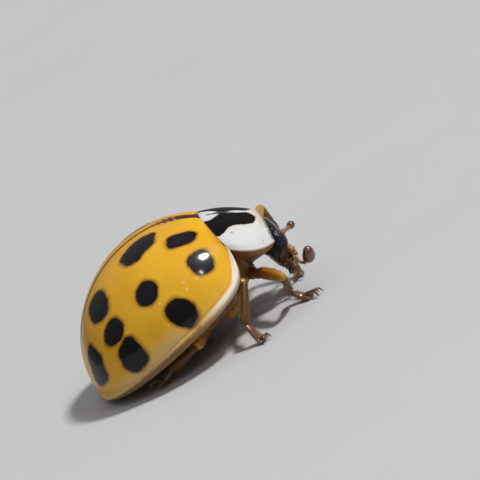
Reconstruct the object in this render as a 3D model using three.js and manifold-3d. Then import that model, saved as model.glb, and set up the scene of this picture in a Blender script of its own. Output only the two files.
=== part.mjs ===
// A harlequin ladybird (Harmonia axyridis) at life size, standing on a flat floor with its
// head end raised, as it walks and feeds on a leaf.
//
// Millimetres, +Z up. The head faces -Y, so the beetle's left side is +X. Everything is modelled
// in the body frame: there Y runs from the base of the wing cases (0) towards their tip, and
// Z = 0 is the plane of their side margins. The stance group then tips the body nose up over
// the floor, and the points that the feet need are carried from the floor into the body frame.

import * as THREE from 'three';
import { mergeVertices } from 'three/addons/utils/BufferGeometryUtils.js';
import Module from 'manifold-3d';

const wasm = await Module();
wasm.setup();

// ---- Driving dimensions ------------------------------------------------------------------

const RISE = THREE.MathUtils.degToRad(16); // how far the body is tipped nose up
const RIDE_HEIGHT = 1.76; // height of the base of the wing cases' margin plane over the floor
const GAP = 0.03; // clear space between neighbouring pieces
const WELD = 1e-4; // vertices closer than this are one

// Wing cases, as one dome. "crest" is where along the length it is widest or highest, "reach"
// how far the front curve would run on past the base, and "powers" shape the front and rear.
const SHELL = {
  length: 5.8,
  halfWidth: 2.86,
  widthCrest: 0.34,
  widthReach: 1.28,
  widthPowers: [2.2, 2.03],
  height: 2.76,
  heightCrest: 0.425,
  heightReach: 1.25,
  heightPowers: [2.08, 1.88],
  roundness: 0.92, // 1 is an ellipse across, less is fuller at the sides
  shoulderRise: 0.83, // the margin climbs this much to meet the pronotum
  shoulderFall: 0.038, // share of the length over which that fades
  thickness: 0.5,
  tipThickness: 0.4,
  suture: 0.04, // width of the line between the two cases
};

// Pronotum, from its hind margin against the wing cases down to its front margin.
const PRONOTUM = {
  run: 1.3, // how far its middle line reaches ahead of the wing cases
  frontHeight: 0.45, // height of the middle of its front margin
  crown: 0.1, // how much the middle line bulges
  edgeRun: 1.03,
  edgeWidths: [1.925, 0.776, -1.476], // half width at the hind margin, then its two slopes
  edgeHeights: [0.83, -1.35, 0.37],
  thickness: 0.36,
  frontThickness: 0.2,
};

// Triangular plate between the bases of the wing cases.
const SCUTELLUM = { half: 0.3, tipHalf: 0.04, length: 0.44, depth: 0.24, proud: 0.02 };

// Lowest line of the underside at the front, the middle legs, the waist and the tip, and the
// lengths over which it changes.
const BELLY = {
  front: -0.62,
  chest: -0.9,
  chestAt: 1,
  waist: -0.58,
  waistFrom: 2,
  waistTo: 3.3,
  tip: -0.08,
  chestKeel: 1.5, // powers of the superelliptic lower half of a section
  abdomenKeel: 1.8,
  groove: 0.06, // how far the abdomen's rings are stepped
};
const THROAT = { height: -0.38, climb: -0.12, run: 0.7, keel: 1.4 }; // underside of the prothorax
const WAIST = 2.75; // Y of the joint between thorax and abdomen
const ABDOMEN_END = 5.3;

// Head capsule: half sizes across, through and down the face, and the lean of the face. The
// mouth parts and their places are on the head's own axes: across, out of the face, up the face.
const HEAD = {
  at: [0, -0.84, -0.3],
  half: [0.95, 0.54, 0.82],
  lean: THREE.MathUtils.degToRad(13),
  taper: 0.34, // how much narrower it is at the mouth
  flatness: 0.12, // how much the middle of the face is pressed flat
  nape: 0.5, // how much shallower it is behind, below the neck
};
const EYE = { at: [0.8, -1.09, -0.31], half: [0.25, 0.27, 0.34] };
const LIP = {
  halves: [0.44, 0.46, 0.4, 0.26], // half widths from the face down to the free edge
  out: 0.4,
  outStep: -0.03,
  up: -0.54,
  upStep: -0.13,
  thick: 0.16,
  thickStep: -0.02,
};
const JAW_BASE = { at: [0, 0.06, -0.8], half: [0.42, 0.26, 0.24] };
const JAW = { root: [0.3, 0.1, -0.84], tip: [0.08, 0.24, -1.06] };
const JAW_HOOK = [[0, 0.14], [0.5, 0.13], [1, 0.06]]; // [along, radius]
const PALP = { root: [0.5, -0.1, -0.5], wrist: [0.62, 0, -0.74], tip: [0.56, 0.16, -0.95] };
const PALP_STEM = [[0, 0.14], [0.3, 0.2], [1, 0.2]];
const PALP_HATCHET = [0.18, 0.26, 0.25];

// Antennae: routes in the body frame, the tube's radius, and the club's start and profile.
const ANTENNA = {
  right: [
    [-0.62, -1.12, -0.58],
    [-0.8, -1.19, -0.9],
    [-0.95, -1.08, -1.1],
    [-1.12, -1.18, -1.25],
    [-1.25, -1.4, -1.18],
    [-1.31, -1.58, -0.9],
  ],
  left: [[0.58, -1.16, -0.58], [0.8, -1.36, -0.66], [1, -1.52, -0.74], [1.2, -1.66, -0.77]],
  radius: 0.2,
  clubStart: 0.7,
  club: [[0, 0.2], [0.4, 0.27], [0.85, 0.26], [1, 0.16]],
};

// Legs by pair. Hips are in the body frame: [half distance apart, Y, Z]. Knees, ankles and toes
// are over the floor, below the base of the wing cases: [to the left, towards the tail, up].
const HIPS = { front: [0.55, 0.12, -0.48], middle: [0.85, 1.35, -0.76], hind: [0.85, 2.35, -0.64] };
const LEGS = {
  front_right: { knee: [-2.5, -0.72, 1.22], ankle: [-1.25, -0.65, 0.36], toe: [-1.8, -1.32] },
  front_left: { knee: [2.05, -1.26, 2.15], ankle: [1.32, -1.25, 0.72], toe: [0.62, -1.15] },
  middle_right: { knee: [-2.12, 0.32, 1.6], ankle: [-2.8, 0.92, 0.66], toe: [-3.15, 0.6] },
  middle_left: { knee: [2.55, 1.2, 0.98], ankle: [3.15, 1.75, 0.36], toe: [3.65, 2.2] },
  hind_right: { knee: [-2.5, 2.42, 0.76], ankle: [-1.95, 3.42, 0.36], toe: [-1.5, 4.05] },
  hind_left: { knee: [2.5, 2.7, 0.74], ankle: [2.35, 3.75, 0.36], toe: [2.75, 4.4] },
};
const COXA = { front: [0.36, 0.24, 0.28], middle: [0.42, 0.26, 0.26], hind: [0.52, 0.28, 0.24] };
const FEMUR = [[0, 0.16], [0.15, 0.24], [0.5, 0.28], [0.85, 0.24], [1, 0.15]]; // [along, radius]
const TIBIA = [[0, 0.17], [0.12, 0.22], [0.6, 0.2], [0.92, 0.23], [1, 0.16]];
const SHIN_START = 0.06; // share of the way from knee to ankle where the shin begins
const COXA_SHARE = 0.8; // share of the coxa's length after which the thigh begins
const TARSUS = { half: 0.25, height: 0.4, sole: 0.34, reach: 0.16, neck: 0.17, toeLift: 0.06 };
const CLAW = { back: 0.12, reach: 0.16, height: 0.16, apart: 0.06, splay: 0.15 };
const CLAW_HOOK = [[0, 0.08], [0.5, 0.065], [1, 0.03]];
const CLAW_SIDES = 4;

// ---- Finishes -----------------------------------------------------------------------------

const finish = (color, roughness, metalness = 0) =>
  new THREE.MeshStandardMaterial({ color, roughness, metalness, flatShading: true });

const FINISH = {
  shell: finish(0xd98b12, 0.25),
  pronotum: finish(0xe9e4da, 0.3),
  black: finish(0x120d0b, 0.3),
  eye: finish(0x0c0d12, 0.15),
  amber: finish(0x9a5a1c, 0.4),
  underside: finish(0x4a2812, 0.45),
};

// ---- Solids -------------------------------------------------------------------------------

const QUARTER = Math.PI / 2;

/** A geometry as a manifold solid: positions only, welded, no empty triangles, facing out. */
function solid(geometry) {
  const bare = new THREE.BufferGeometry();
  bare.setAttribute('position', geometry.getAttribute('position').clone());
  if (geometry.index) bare.setIndex(geometry.index.clone());
  const welded = mergeVertices(bare, WELD);
  const corners = welded.index.array;
  const faces = [];
  for (let i = 0; i < corners.length; i += 3) {
    const [a, b, c] = [corners[i], corners[i + 1], corners[i + 2]];
    if (a !== b && b !== c && c !== a) faces.push([a, b, c]);
  }
  const made = (list) =>
    new wasm.Manifold(
      new wasm.Mesh({
        numProp: 3,
        vertProperties: welded.attributes.position.array,
        triVerts: new Uint32Array(list.flat()),
      }),
    );
  const first = made(faces);
  return first.volume() > 0 ? first : made(faces.map(([a, b, c]) => [a, c, b]));
}

/** A closed surface through rings of points, its ends closed by a fan or, for C-shaped rings, a strip. */
function loft(rings, ends) {
  const count = rings[0].length;
  const points = rings.flat();
  const faces = [];
  const quad = (a, b, c, d) => faces.push(a, b, c, a, c, d);
  for (let start = 0; start + count < points.length; start += count) {
    for (let i = 0; i < count; i += 1) {
      const next = start + ((i + 1) % count);
      quad(start + i, next, next + count, start + count + i);
    }
  }
  const closeEnd = (start, turned) => {
    if (ends === 'strip') {
      for (let i = 0; i + 1 < count / 2; i += 1) {
        const corners = [start + i, start + count - 1 - i, start + count - 2 - i, start + i + 1];
        quad(...(turned ? corners.reverse() : corners));
      }
      return;
    }
    const centre = new THREE.Vector3();
    for (let i = 0; i < count; i += 1) centre.addScaledVector(points[start + i], 1 / count);
    const hub = points.push(centre) - 1;
    for (let i = 0; i < count; i += 1) {
      const next = start + ((i + 1) % count);
      faces.push(...(turned ? [start + i, next, hub] : [next, start + i, hub]));
    }
  };
  closeEnd(0, false);
  closeEnd((rings.length - 1) * count, true);
  const geometry = new THREE.BufferGeometry().setFromPoints(points);
  geometry.setIndex(faces);
  return solid(geometry);
}

const NO_TURN = new THREE.Quaternion();

/** An ellipsoid, grown all round by extra, turned and then moved into place. */
function ellipsoid(at, half, extra = 0, turn = NO_TURN, around = 9, down = 6) {
  const ball = new THREE.SphereGeometry(1, around, down);
  ball.scale(half[0] + extra, half[1] + extra, half[2] + extra);
  ball.applyQuaternion(turn);
  ball.translate(...at);
  return solid(ball);
}

/** A round limb between two points. Its profile is a list of [share of the length, radius]. */
function limb(from, to, profile, extra = 0, sides = 8) {
  const axis = new THREE.Vector3().subVectors(to, from);
  const length = axis.length();
  const outline = profile.map(([share, radius]) => {
    const past = share === 0 ? -extra : share === 1 ? extra : 0;
    return new THREE.Vector2(radius + extra, share * length + past);
  });
  outline.unshift(new THREE.Vector2(0, outline[0].y));
  outline.push(new THREE.Vector2(0, outline[outline.length - 1].y));
  const upright = new THREE.Vector3(0, 1, 0);
  const turned = new THREE.LatheGeometry(outline, sides);
  turned.applyQuaternion(new THREE.Quaternion().setFromUnitVectors(upright, axis.normalize()));
  turned.translate(from.x, from.y, from.z);
  return solid(turned);
}

/** What is left of a piece once its neighbours, already grown by the gap, are cut out of it. */
const clearOf = (piece, ...neighbours) =>
  neighbours.reduce((left, cutter) => left.subtract(cutter), piece);

/** The part of a piece that lies ahead of the wing cases. */
const aheadOfShell = (piece) => piece.trimByPlane([0, -1, 0], GAP);

/** Both sides of a pair: makes the piece for the left (+1) and the right (-1). */
const pair = (make) => ({ left: make(1), right: make(-1) });

/** Even shares from 0 to 1, both ends included. */
const shares = (steps) => Array.from({ length: steps + 1 }, (_, i) => i / steps);

/** Even angles once round a circle. */
const fullTurn = (steps) => shares(steps).slice(1).map((share) => share * 4 * QUARTER);

// ---- Wing cases ---------------------------------------------------------------------------

/** Height of a unit superellipse at a share of its half width. */
const superArc = (share, power) => Math.pow(Math.max(0, 1 - Math.abs(share) ** power), 1 / power);

/** How full the dome is at share s of its length: 1 at its crest and 0 at its tip. */
function fullness(s, crest, reach, powers) {
  const front = s < crest;
  const away = front ? (crest - s) / (crest * reach) : (s - crest) / (1 - crest);
  return superArc(away, front ? powers[0] : powers[1]);
}

/** Height of the side margin, which climbs at the shoulder. */
const marginHeight = (s) => SHELL.shoulderRise * Math.exp(-s / SHELL.shoulderFall);

/** Half width and top of the dome at share s, inside its outer face by inset. */
function domeSection(s, inset) {
  const wide = fullness(s, SHELL.widthCrest, SHELL.widthReach, SHELL.widthPowers);
  const high = fullness(s, SHELL.heightCrest, SHELL.heightReach, SHELL.heightPowers);
  return { half: (SHELL.halfWidth - inset) * wide, top: (SHELL.height - inset) * high };
}

/** A point of the dome: angle 0 is the middle line and a quarter turn the side margin. */
function domePoint(s, angle, inset, length = SHELL.length) {
  const { half, top } = domeSection(s, inset);
  const margin = marginHeight(s);
  const across = Math.sign(angle) * Math.abs(Math.sin(angle)) ** SHELL.roundness;
  const up = Math.max(0, Math.cos(angle)) ** SHELL.roundness;
  return new THREE.Vector3(half * across, s * length, margin + Math.max(top - margin, 0) * up);
}

/** Extra stations near the base, where the margin climbs to the shoulder. */
const SHOULDER_STATIONS = [0, 0.02, 0.05];

/** One wing case: a curved shell from the middle line to the side margin. */
function elytron(side) {
  const across = shares(11).map((share) => share * QUARTER);
  const towardTip = shares(15).map((share) => 1 - (1 - share) ** 1.5);
  const stations = [...SHOULDER_STATIONS, ...towardTip.slice(1)];
  const seam = SHELL.suture / 2;
  const innerLength = SHELL.length - SHELL.tipThickness;
  const rings = stations.map((s) => {
    const outer = across.map((angle) => domePoint(s, angle, 0));
    const inner = across.map((angle) => domePoint(s, angle, SHELL.thickness, innerLength));
    return [...outer, ...inner.reverse()].map(({ x, y, z }) => {
      const out = seam + x * (1 - seam / SHELL.halfWidth);
      return new THREE.Vector3(side * out, y, z);
    });
  });
  return loft(rings, 'strip');
}

/** The small triangular plate between the wing cases' bases, lying in the dome's slope. */
function scutellum(extra = 0) {
  const half = SCUTELLUM.half + extra;
  const tipHalf = SCUTELLUM.tipHalf + extra;
  const length = SCUTELLUM.length + extra;
  const outline = new THREE.Shape([
    new THREE.Vector2(-half, 0),
    new THREE.Vector2(half, 0),
    new THREE.Vector2(tipHalf, length),
    new THREE.Vector2(-tipHalf, length),
  ]);
  const depth = SCUTELLUM.depth + 2 * extra;
  const plate = new THREE.ExtrudeGeometry(outline, { depth, bevelEnabled: false });
  plate.translate(0, 0, SCUTELLUM.proud + extra - depth);
  const base = domePoint(0, 0, 0);
  const behind = domePoint(SCUTELLUM.length / SHELL.length, 0, 0);
  plate.rotateX(Math.atan2(behind.z - base.z, behind.y - base.y));
  plate.translate(0, base.y + GAP - extra, base.z);
  return solid(plate);
}

// ---- Pronotum and prothorax ---------------------------------------------------------------

const quadratic = ([start, slope, bend], p) => start + slope * p + bend * p * p;

/** A point of the pronotum: p runs from hind to front margin, angle from middle line to edge. */
function pronotumPoint(p, angle, inset) {
  const back = domePoint(0, 0, 0);
  const fall = new THREE.Vector2(-PRONOTUM.run, PRONOTUM.frontHeight - back.z).normalize();
  const lift = PRONOTUM.crown * 4 * p * (1 - p) - inset;
  const middleY = -PRONOTUM.run * p + fall.y * lift;
  const middleZ = THREE.MathUtils.lerp(back.z, PRONOTUM.frontHeight, p) - fall.x * lift;
  const edge = quadratic(PRONOTUM.edgeWidths, p) - inset * 0.6;
  const turn = 1 - Math.cos(angle);
  return new THREE.Vector3(
    edge * Math.sin(angle),
    middleY + (-PRONOTUM.edgeRun * p - middleY) * turn - GAP,
    middleZ + (quadratic(PRONOTUM.edgeHeights, p) - middleZ) * turn,
  );
}

/** Angles over the back from the right edge to the left. */
const arch = (steps) => shares(steps).map((share) => (2 * share - 1) * QUARTER);

/** Angles under the body from the left edge to the right, the edges themselves left out. */
const keel = (steps) => arch(steps).slice(1, -1).reverse();

/** Thickness of the pronotum at share p of its length. */
const pronotumThickness = (p) =>
  THREE.MathUtils.lerp(PRONOTUM.thickness, PRONOTUM.frontThickness, p);

function pronotum() {
  const over = arch(14);
  const rings = shares(6).map((p) => {
    const outer = over.map((angle) => pronotumPoint(p, angle, 0));
    const inner = over.map((angle) => pronotumPoint(p, angle, pronotumThickness(p)));
    return [...outer, ...inner.reverse()];
  });
  return loft(rings, 'strip');
}

/** Lower half of a section: from the left edge down to its lowest point and up to the right. */
function lowerHalf(edge, lowest, steps, power) {
  return keel(steps).map((angle) => {
    const point = edge.clone().lerp(lowest, superArc(Math.sin(angle), power));
    return point.setX(edge.x * Math.sin(angle));
  });
}

/** The first thorax segment below the pronotum: its roof, and a throat that rises to the head. */
function prothorax() {
  const over = arch(8);
  const rings = shares(4).map((share) => {
    const p = share * THROAT.run;
    const upper = over.map((angle) => pronotumPoint(p, angle, pronotumThickness(p) + GAP));
    const lowest = new THREE.Vector3(0, -p - GAP, THROAT.height + THROAT.climb * (p + GAP));
    return [...upper, ...lowerHalf(upper[upper.length - 1], lowest, 6, THROAT.keel)];
  });
  return loft(rings, 'fan');
}

// ---- Thorax and abdomen -------------------------------------------------------------------

const step = (value, from, to) => THREE.MathUtils.smoothstep(value, from, to);

/** Lowest point of the underside at a distance y behind the base of the wing cases. */
function bellyHeight(y) {
  const chest = BELLY.front + (BELLY.chest - BELLY.front) * step(y, 0, BELLY.chestAt);
  const waist = chest + (BELLY.waist - BELLY.chest) * step(y, BELLY.waistFrom, BELLY.waistTo);
  return waist + (BELLY.tip - BELLY.waist) * step(y, BELLY.waistTo, ABDOMEN_END);
}

/** A length of the body that fills the dome of the wing cases and bulges below it. */
function trunk(from, to, steps, power, groove) {
  const inside = SHELL.thickness + GAP;
  const length = SHELL.length - SHELL.tipThickness - GAP;
  const over = arch(6);
  const rings = shares(steps).map((share, index) => {
    const y = THREE.MathUtils.lerp(from, to, share);
    const upper = over.map((angle) => domePoint(y / length, angle, inside, length));
    const lowest = new THREE.Vector3(0, y, bellyHeight(y) * (index % 2 ? 1 : 1 - groove));
    return [...upper, ...lowerHalf(upper[upper.length - 1], lowest, 6, power)];
  });
  return loft(rings, 'fan');
}

// ---- Head ---------------------------------------------------------------------------------

const FACE_TURN = new THREE.Quaternion().setFromEuler(new THREE.Euler(HEAD.lean, 0, 0));

/** A point given on the head's own axes: across, out of the face and up the face. */
const onHead = ([x, out, up]) =>
  new THREE.Vector3(x, -out, up).applyQuaternion(FACE_TURN).add(new THREE.Vector3(...HEAD.at));

/** The same for one side of a pair. */
const besideHead = (side, [x, out, up]) => onHead([side * x, out, up]);

/** Head capsule: an egg that narrows to the mouth, with a flattened face. */
function headCapsule(extra = 0) {
  const ball = new THREE.SphereGeometry(1, 14, 10);
  const spot = ball.getAttribute('position');
  const [wide, deep, tall] = HEAD.half.map((half) => half + extra);
  for (let i = 0; i < spot.count; i += 1) {
    const taper = 1 - HEAD.taper * step(-spot.getZ(i), 0, 1);
    const below = HEAD.nape * step(-spot.getZ(i), -0.3, 0.5);
    const flat = spot.getY(i) < 0 ? 1 - HEAD.flatness * (1 - Math.abs(spot.getX(i))) : 1 - below;
    spot.setXYZ(
      i,
      spot.getX(i) * wide * taper,
      spot.getY(i) * deep * flat,
      spot.getZ(i) * tall,
    );
  }
  ball.applyQuaternion(FACE_TURN);
  ball.translate(...HEAD.at);
  return solid(ball);
}

const eyeball = (side, extra = 0) =>
  ellipsoid([side * EYE.at[0], EYE.at[1], EYE.at[2]], EYE.half, extra, FACE_TURN, 12, 7);

/** The plate over the mouth: clypeus and upper lip, thinner towards its rounded free edge. */
function upperLip(extra = 0) {
  const last = LIP.halves.length - 1;
  const rings = LIP.halves.map((half, i) => {
    const thick = LIP.thick + LIP.thickStep * i + extra;
    const past = i === 0 ? extra : i === last ? -extra : 0;
    return fullTurn(9).map((turn) =>
      onHead([
        (half + extra) * Math.cos(turn),
        LIP.out + LIP.outStep * i + thick * Math.sin(turn),
        LIP.up + LIP.upStep * i + past,
      ]),
    );
  });
  return loft(rings, 'fan');
}

/** Jaws and lower lip: a block under the upper lip with two short hooked jaws in front of it. */
function jaws(extra = 0) {
  const base = ellipsoid(onHead(JAW_BASE.at).toArray(), JAW_BASE.half, extra, FACE_TURN);
  const hooks = pair((side) =>
    limb(besideHead(side, JAW.root), besideHead(side, JAW.tip), JAW_HOOK, extra, 5),
  );
  return base.add(hooks.left).add(hooks.right);
}

/** Maxillary palp, which ends in a broad hatchet-shaped joint. */
function palp(side, extra = 0) {
  const wrist = besideHead(side, PALP.wrist);
  const stem = limb(besideHead(side, PALP.root), wrist, PALP_STEM, extra, 7);
  const middle = wrist.clone().lerp(besideHead(side, PALP.tip), 0.5);
  return stem.add(ellipsoid(middle.toArray(), PALP_HATCHET, extra, FACE_TURN, 8, 5));
}

/** Antenna: a tube along a smooth route with a swollen club at its end. */
function antenna(route) {
  const { radius, clubStart, club } = ANTENNA;
  const curve = new THREE.CatmullRomCurve3(route.map((point) => new THREE.Vector3(...point)));
  const section = new THREE.Shape(
    fullTurn(6).map((turn) => new THREE.Vector2(radius * Math.cos(turn), radius * Math.sin(turn))),
  );
  const stalk = new THREE.ExtrudeGeometry(section, { steps: 6, extrudePath: curve });
  const swelling = limb(curve.getPointAt(clubStart), curve.getPointAt(1), club, 0, 7);
  return solid(stalk).add(swelling);
}

// ---- Legs ---------------------------------------------------------------------------------

/** A place over the floor, [to the left, towards the tail, up], in the body frame. */
const fromFloor = (x, y, up) =>
  new THREE.Vector3(x, y, up - RIDE_HEIGHT).applyAxisAngle(new THREE.Vector3(1, 0, 0), RISE);

/** Moves a solid from the floor frame into the body frame, after a placement on the floor. */
function placeSolid(piece, onFloor) {
  const whole = new THREE.Matrix4()
    .makeRotationX(RISE)
    .multiply(new THREE.Matrix4().makeTranslation(0, 0, -RIDE_HEIGHT))
    .multiply(onFloor);
  return piece.transform(whole.elements);
}

/** Corners of a foot's section as [share of the half width, share of its height]. */
const FOOT_CORNERS = [[-0.8, 0], [-1, 0.35], [-0.6, 0.88], [0, 1], [0.6, 0.88], [1, 0.35], [0.8, 0]];

/** A claw of the foot, on its left (+1) or right (-1), at the front of a foot of some length. */
function claw(side, length) {
  const root = new THREE.Vector3(side * CLAW.apart, length - CLAW.back, CLAW.height);
  const tip = new THREE.Vector3(side * CLAW.splay, length + CLAW.reach, TARSUS.toeLift);
  return limb(root, tip, CLAW_HOOK, 0, CLAW_SIDES);
}

/** Foot: pads with a flat sole on the floor, rising behind to the ankle, and two claws in front. */
function foot(ankle, toe) {
  const heading = Math.atan2(toe[1] - ankle[1], toe[0] - ankle[0]);
  const length = Math.hypot(toe[0] - ankle[0], toe[1] - ankle[1]);
  const heel = Math.max(length - TARSUS.sole - TARSUS.reach, 0.05);
  const ride = ankle[2] - TARSUS.neck;
  const sections = [
    { along: -0.06, wide: 0.7, low: ride, high: ankle[2] + TARSUS.neck },
    { along: heel * 0.5, wide: 0.86, low: ride * 0.45, high: ride * 0.5 + TARSUS.height },
    { along: heel, wide: 1, low: 0, high: ride * 0.1 + TARSUS.height },
    { along: heel + TARSUS.sole * 0.55, wide: 0.74, low: 0, high: TARSUS.height * 0.86 },
    { along: heel + TARSUS.sole * 0.8, wide: 1, low: 0, high: TARSUS.height * 0.8 },
    { along: length - TARSUS.reach * 0.6, wide: 0.66, low: 0, high: TARSUS.height * 0.66 },
    { along: length, wide: 0.45, low: TARSUS.toeLift, high: TARSUS.height * 0.55 },
  ];
  const rings = sections.map(({ along, wide, low, high }) =>
    FOOT_CORNERS.map(([x, z]) =>
      new THREE.Vector3(x * wide * TARSUS.half, along, THREE.MathUtils.lerp(low, high, z)),
    ),
  );
  const pads = loft(rings, 'fan').add(claw(1, length)).add(claw(-1, length));
  const onFloor = new THREE.Matrix4().makeRotationZ(heading - QUARTER);
  return placeSolid(pads, onFloor.setPosition(ankle[0], ankle[1], 0));
}

/** The four pieces of one leg, each clear of the one before it, and the room its top needs. */
function leg(name) {
  const { knee, ankle, toe } = LEGS[name];
  const [kind, sideName] = name.split('_');
  const [apart, hipY, hipZ] = HIPS[kind];
  const hip = new THREE.Vector3(sideName === 'left' ? apart : -apart, hipY, hipZ);
  const kneePoint = fromFloor(...knee);
  const anklePoint = fromFloor(...ankle);
  const outward = new THREE.Vector3().subVectors(kneePoint, hip).setLength(COXA[kind][0] * COXA_SHARE);
  const thighStart = hip.clone().add(outward);
  const shinStart = kneePoint.clone().lerp(anklePoint, SHIN_START);
  const coxa = (extra = 0) => ellipsoid(hip.toArray(), COXA[kind], extra);
  const femur = (extra = 0) => limb(thighStart, kneePoint, FEMUR, extra);
  const tibia = (extra = 0) => limb(shinStart, anklePoint, TIBIA, extra);
  return {
    coxa: coxa(),
    femur: clearOf(femur(), coxa(GAP)),
    tibia: clearOf(tibia(), femur(GAP)),
    tarsus: clearOf(foot(ankle, toe), tibia(GAP)),
    room: [coxa(GAP), femur(GAP)],
  };
}

// ---- Assembly -----------------------------------------------------------------------------

/** A named mesh from a solid. */
function mesh(name, piece, material) {
  const { vertProperties, triVerts } = piece.getMesh();
  const geometry = new THREE.BufferGeometry();
  geometry.setAttribute('position', new THREE.BufferAttribute(new Float32Array(vertProperties), 3));
  geometry.setIndex(new THREE.BufferAttribute(new Uint32Array(triVerts), 1));
  geometry.computeVertexNormals();
  const made = new THREE.Mesh(geometry, material);
  made.name = name;
  return made;
}

const legs = Object.fromEntries(Object.keys(LEGS).map((name) => [name, leg(name)]));
const rooms = Object.values(legs).flatMap((one) => one.room);
const eyes = pair((side) => eyeball(side));
const eyeRooms = [eyeball(1, GAP), eyeball(-1, GAP)];
const headRoom = headCapsule(GAP);
const lipRoom = upperLip(GAP);
const jawRoom = jaws(GAP);
const palps = pair((side) => clearOf(palp(side), headRoom, lipRoom, jawRoom));
const palpRooms = [palp(1, GAP), palp(-1, GAP)];
const plateRoom = scutellum(GAP);
const cases = pair((side) => clearOf(elytron(side), plateRoom));
const faceRooms = [headRoom, lipRoom, jawRoom, ...palpRooms, ...eyeRooms];
const chest = trunk(GAP, WAIST, 7, BELLY.chestKeel, 0);
const rear = trunk(WAIST + GAP, ABDOMEN_END, 10, BELLY.abdomenKeel, BELLY.groove);

/** A piece in front of the wing cases, cut clear of the head, the eyes and the legs. */
const aroundHead = (piece) => clearOf(aheadOfShell(piece), headRoom, ...eyeRooms, ...rooms);

const stance = new THREE.Group();
stance.rotation.x = -RISE;
stance.position.z = RIDE_HEIGHT;

stance.add(
  mesh('elytron_left', cases.left, FINISH.shell),
  mesh('elytron_right', cases.right, FINISH.shell),
  mesh('scutellum', scutellum(), FINISH.black),
  mesh('pronotum', aroundHead(pronotum()), FINISH.pronotum),
  mesh('prothorax', aroundHead(prothorax()), FINISH.underside),
  mesh('thorax', clearOf(chest, plateRoom, ...rooms), FINISH.underside),
  mesh('abdomen', clearOf(rear, ...rooms), FINISH.underside),
  mesh('head', clearOf(headCapsule(), ...eyeRooms), FINISH.black),
  mesh('eye_left', eyes.left, FINISH.eye),
  mesh('eye_right', eyes.right, FINISH.eye),
  mesh('upper_lip', clearOf(upperLip(), headRoom), FINISH.amber),
  mesh('jaws', clearOf(jaws(), headRoom, lipRoom), FINISH.amber),
  mesh('palp_left', palps.left, FINISH.amber),
  mesh('palp_right', palps.right, FINISH.amber),
  mesh('antenna_left', clearOf(antenna(ANTENNA.left), ...faceRooms), FINISH.amber),
  mesh('antenna_right', clearOf(antenna(ANTENNA.right), ...faceRooms), FINISH.amber),
);

for (const [name, one] of Object.entries(legs)) {
  for (const joint of ['coxa', 'femur', 'tibia', 'tarsus']) {
    stance.add(mesh(`${joint}_${name}`, one[joint], FINISH.amber));
  }
}

// The origin is the middle of the whole beetle's footprint, on the floor.
const bounds = new THREE.Box3().setFromObject(stance, true);
const middle = bounds.getCenter(new THREE.Vector3());
stance.position.x -= middle.x;
stance.position.y -= middle.y;

const ladybird = new THREE.Group();
ladybird.add(stance);

export default ladybird;
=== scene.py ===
"""Looks of a life-size harlequin ladybird that stands on a pale floor with its head end raised.

All sizes are in millimetres in the classes below, and each finished mesh is brought to metres.
The body frame runs along Y from the base of the wing cases towards their tip, X is the beetle's
left and Z = 0 is the plane of the side margins. Stance tips that frame up over the floor.
"""

import logging
import math
import random
from collections.abc import Callable, Sequence
from dataclasses import dataclass, field
from enum import Enum
from typing import ClassVar

import bpy
from mathutils import Matrix, Vector


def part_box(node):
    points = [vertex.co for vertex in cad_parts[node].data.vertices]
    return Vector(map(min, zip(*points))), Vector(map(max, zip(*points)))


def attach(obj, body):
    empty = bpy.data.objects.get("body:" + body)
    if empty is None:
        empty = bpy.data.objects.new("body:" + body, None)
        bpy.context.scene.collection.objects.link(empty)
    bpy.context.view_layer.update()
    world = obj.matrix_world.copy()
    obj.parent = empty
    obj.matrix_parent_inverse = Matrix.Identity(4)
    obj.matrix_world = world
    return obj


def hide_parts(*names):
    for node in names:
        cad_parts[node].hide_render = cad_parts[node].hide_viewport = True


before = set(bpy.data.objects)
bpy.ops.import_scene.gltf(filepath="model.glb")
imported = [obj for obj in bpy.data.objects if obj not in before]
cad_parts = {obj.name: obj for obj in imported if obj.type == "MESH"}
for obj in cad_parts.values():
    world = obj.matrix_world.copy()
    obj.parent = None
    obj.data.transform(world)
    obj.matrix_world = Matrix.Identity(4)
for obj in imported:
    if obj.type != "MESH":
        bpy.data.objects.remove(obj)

MM = 0.001
HAIR_MAP = "OFBake"
SURFACE_MAP = "Surface"
LOG = logging.getLogger("ladybird")

Material = bpy.types.Material
Node = bpy.types.Node
NodeTree = bpy.types.NodeTree
Piece = bpy.types.Object
Socket = bpy.types.NodeSocket
Colour = tuple[float, float, float, float]
Point = tuple[float, float, float]
Flat = tuple[float, float]
Profile = Sequence[tuple[float, float, float]]


class Side(Enum):
    """The beetle's own sides, with their sign along X."""

    LEFT = 1
    RIGHT = -1

    @property
    def word(self) -> str:
        """The side as it is written in the names of pieces."""
        return self.name.lower()


# ---- Small helpers ------------------------------------------------------------------------


def mix(a: float, b: float, share: float) -> float:
    """A number at a share of the way from a to b."""
    return a + (b - a) * share


def ease(value: float, low: float, high: float) -> float:
    """Smooth step from 0 at low to 1 at high."""
    share = min(1.0, max(0.0, (value - low) / (high - low)))
    return share * share * (3.0 - 2.0 * share)


def steady(place: Vector) -> Point:
    """A place as a key that sorts the same way each run."""
    return round(place.x, 4), round(place.y, 4), round(place.z, 4)


def super_arc(share: float, power: float) -> float:
    """Height of a unit superellipse at a share of its half width."""
    return max(0.0, 1.0 - abs(share) ** power) ** (1.0 / power)


def start_alone() -> None:
    """Leaves edit mode and deselects everything, so that the next operator acts on nothing old."""
    if bpy.context.object and bpy.context.object.mode != "OBJECT":
        bpy.ops.object.mode_set(mode="OBJECT")
    bpy.ops.object.select_all(action="DESELECT")


def take(obj: Piece) -> None:
    """Selects one object and makes it the active one.

    Args:
        obj: The object to work on.
    """
    start_alone()
    obj.select_set(True)
    bpy.context.view_layer.objects.active = obj


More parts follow.
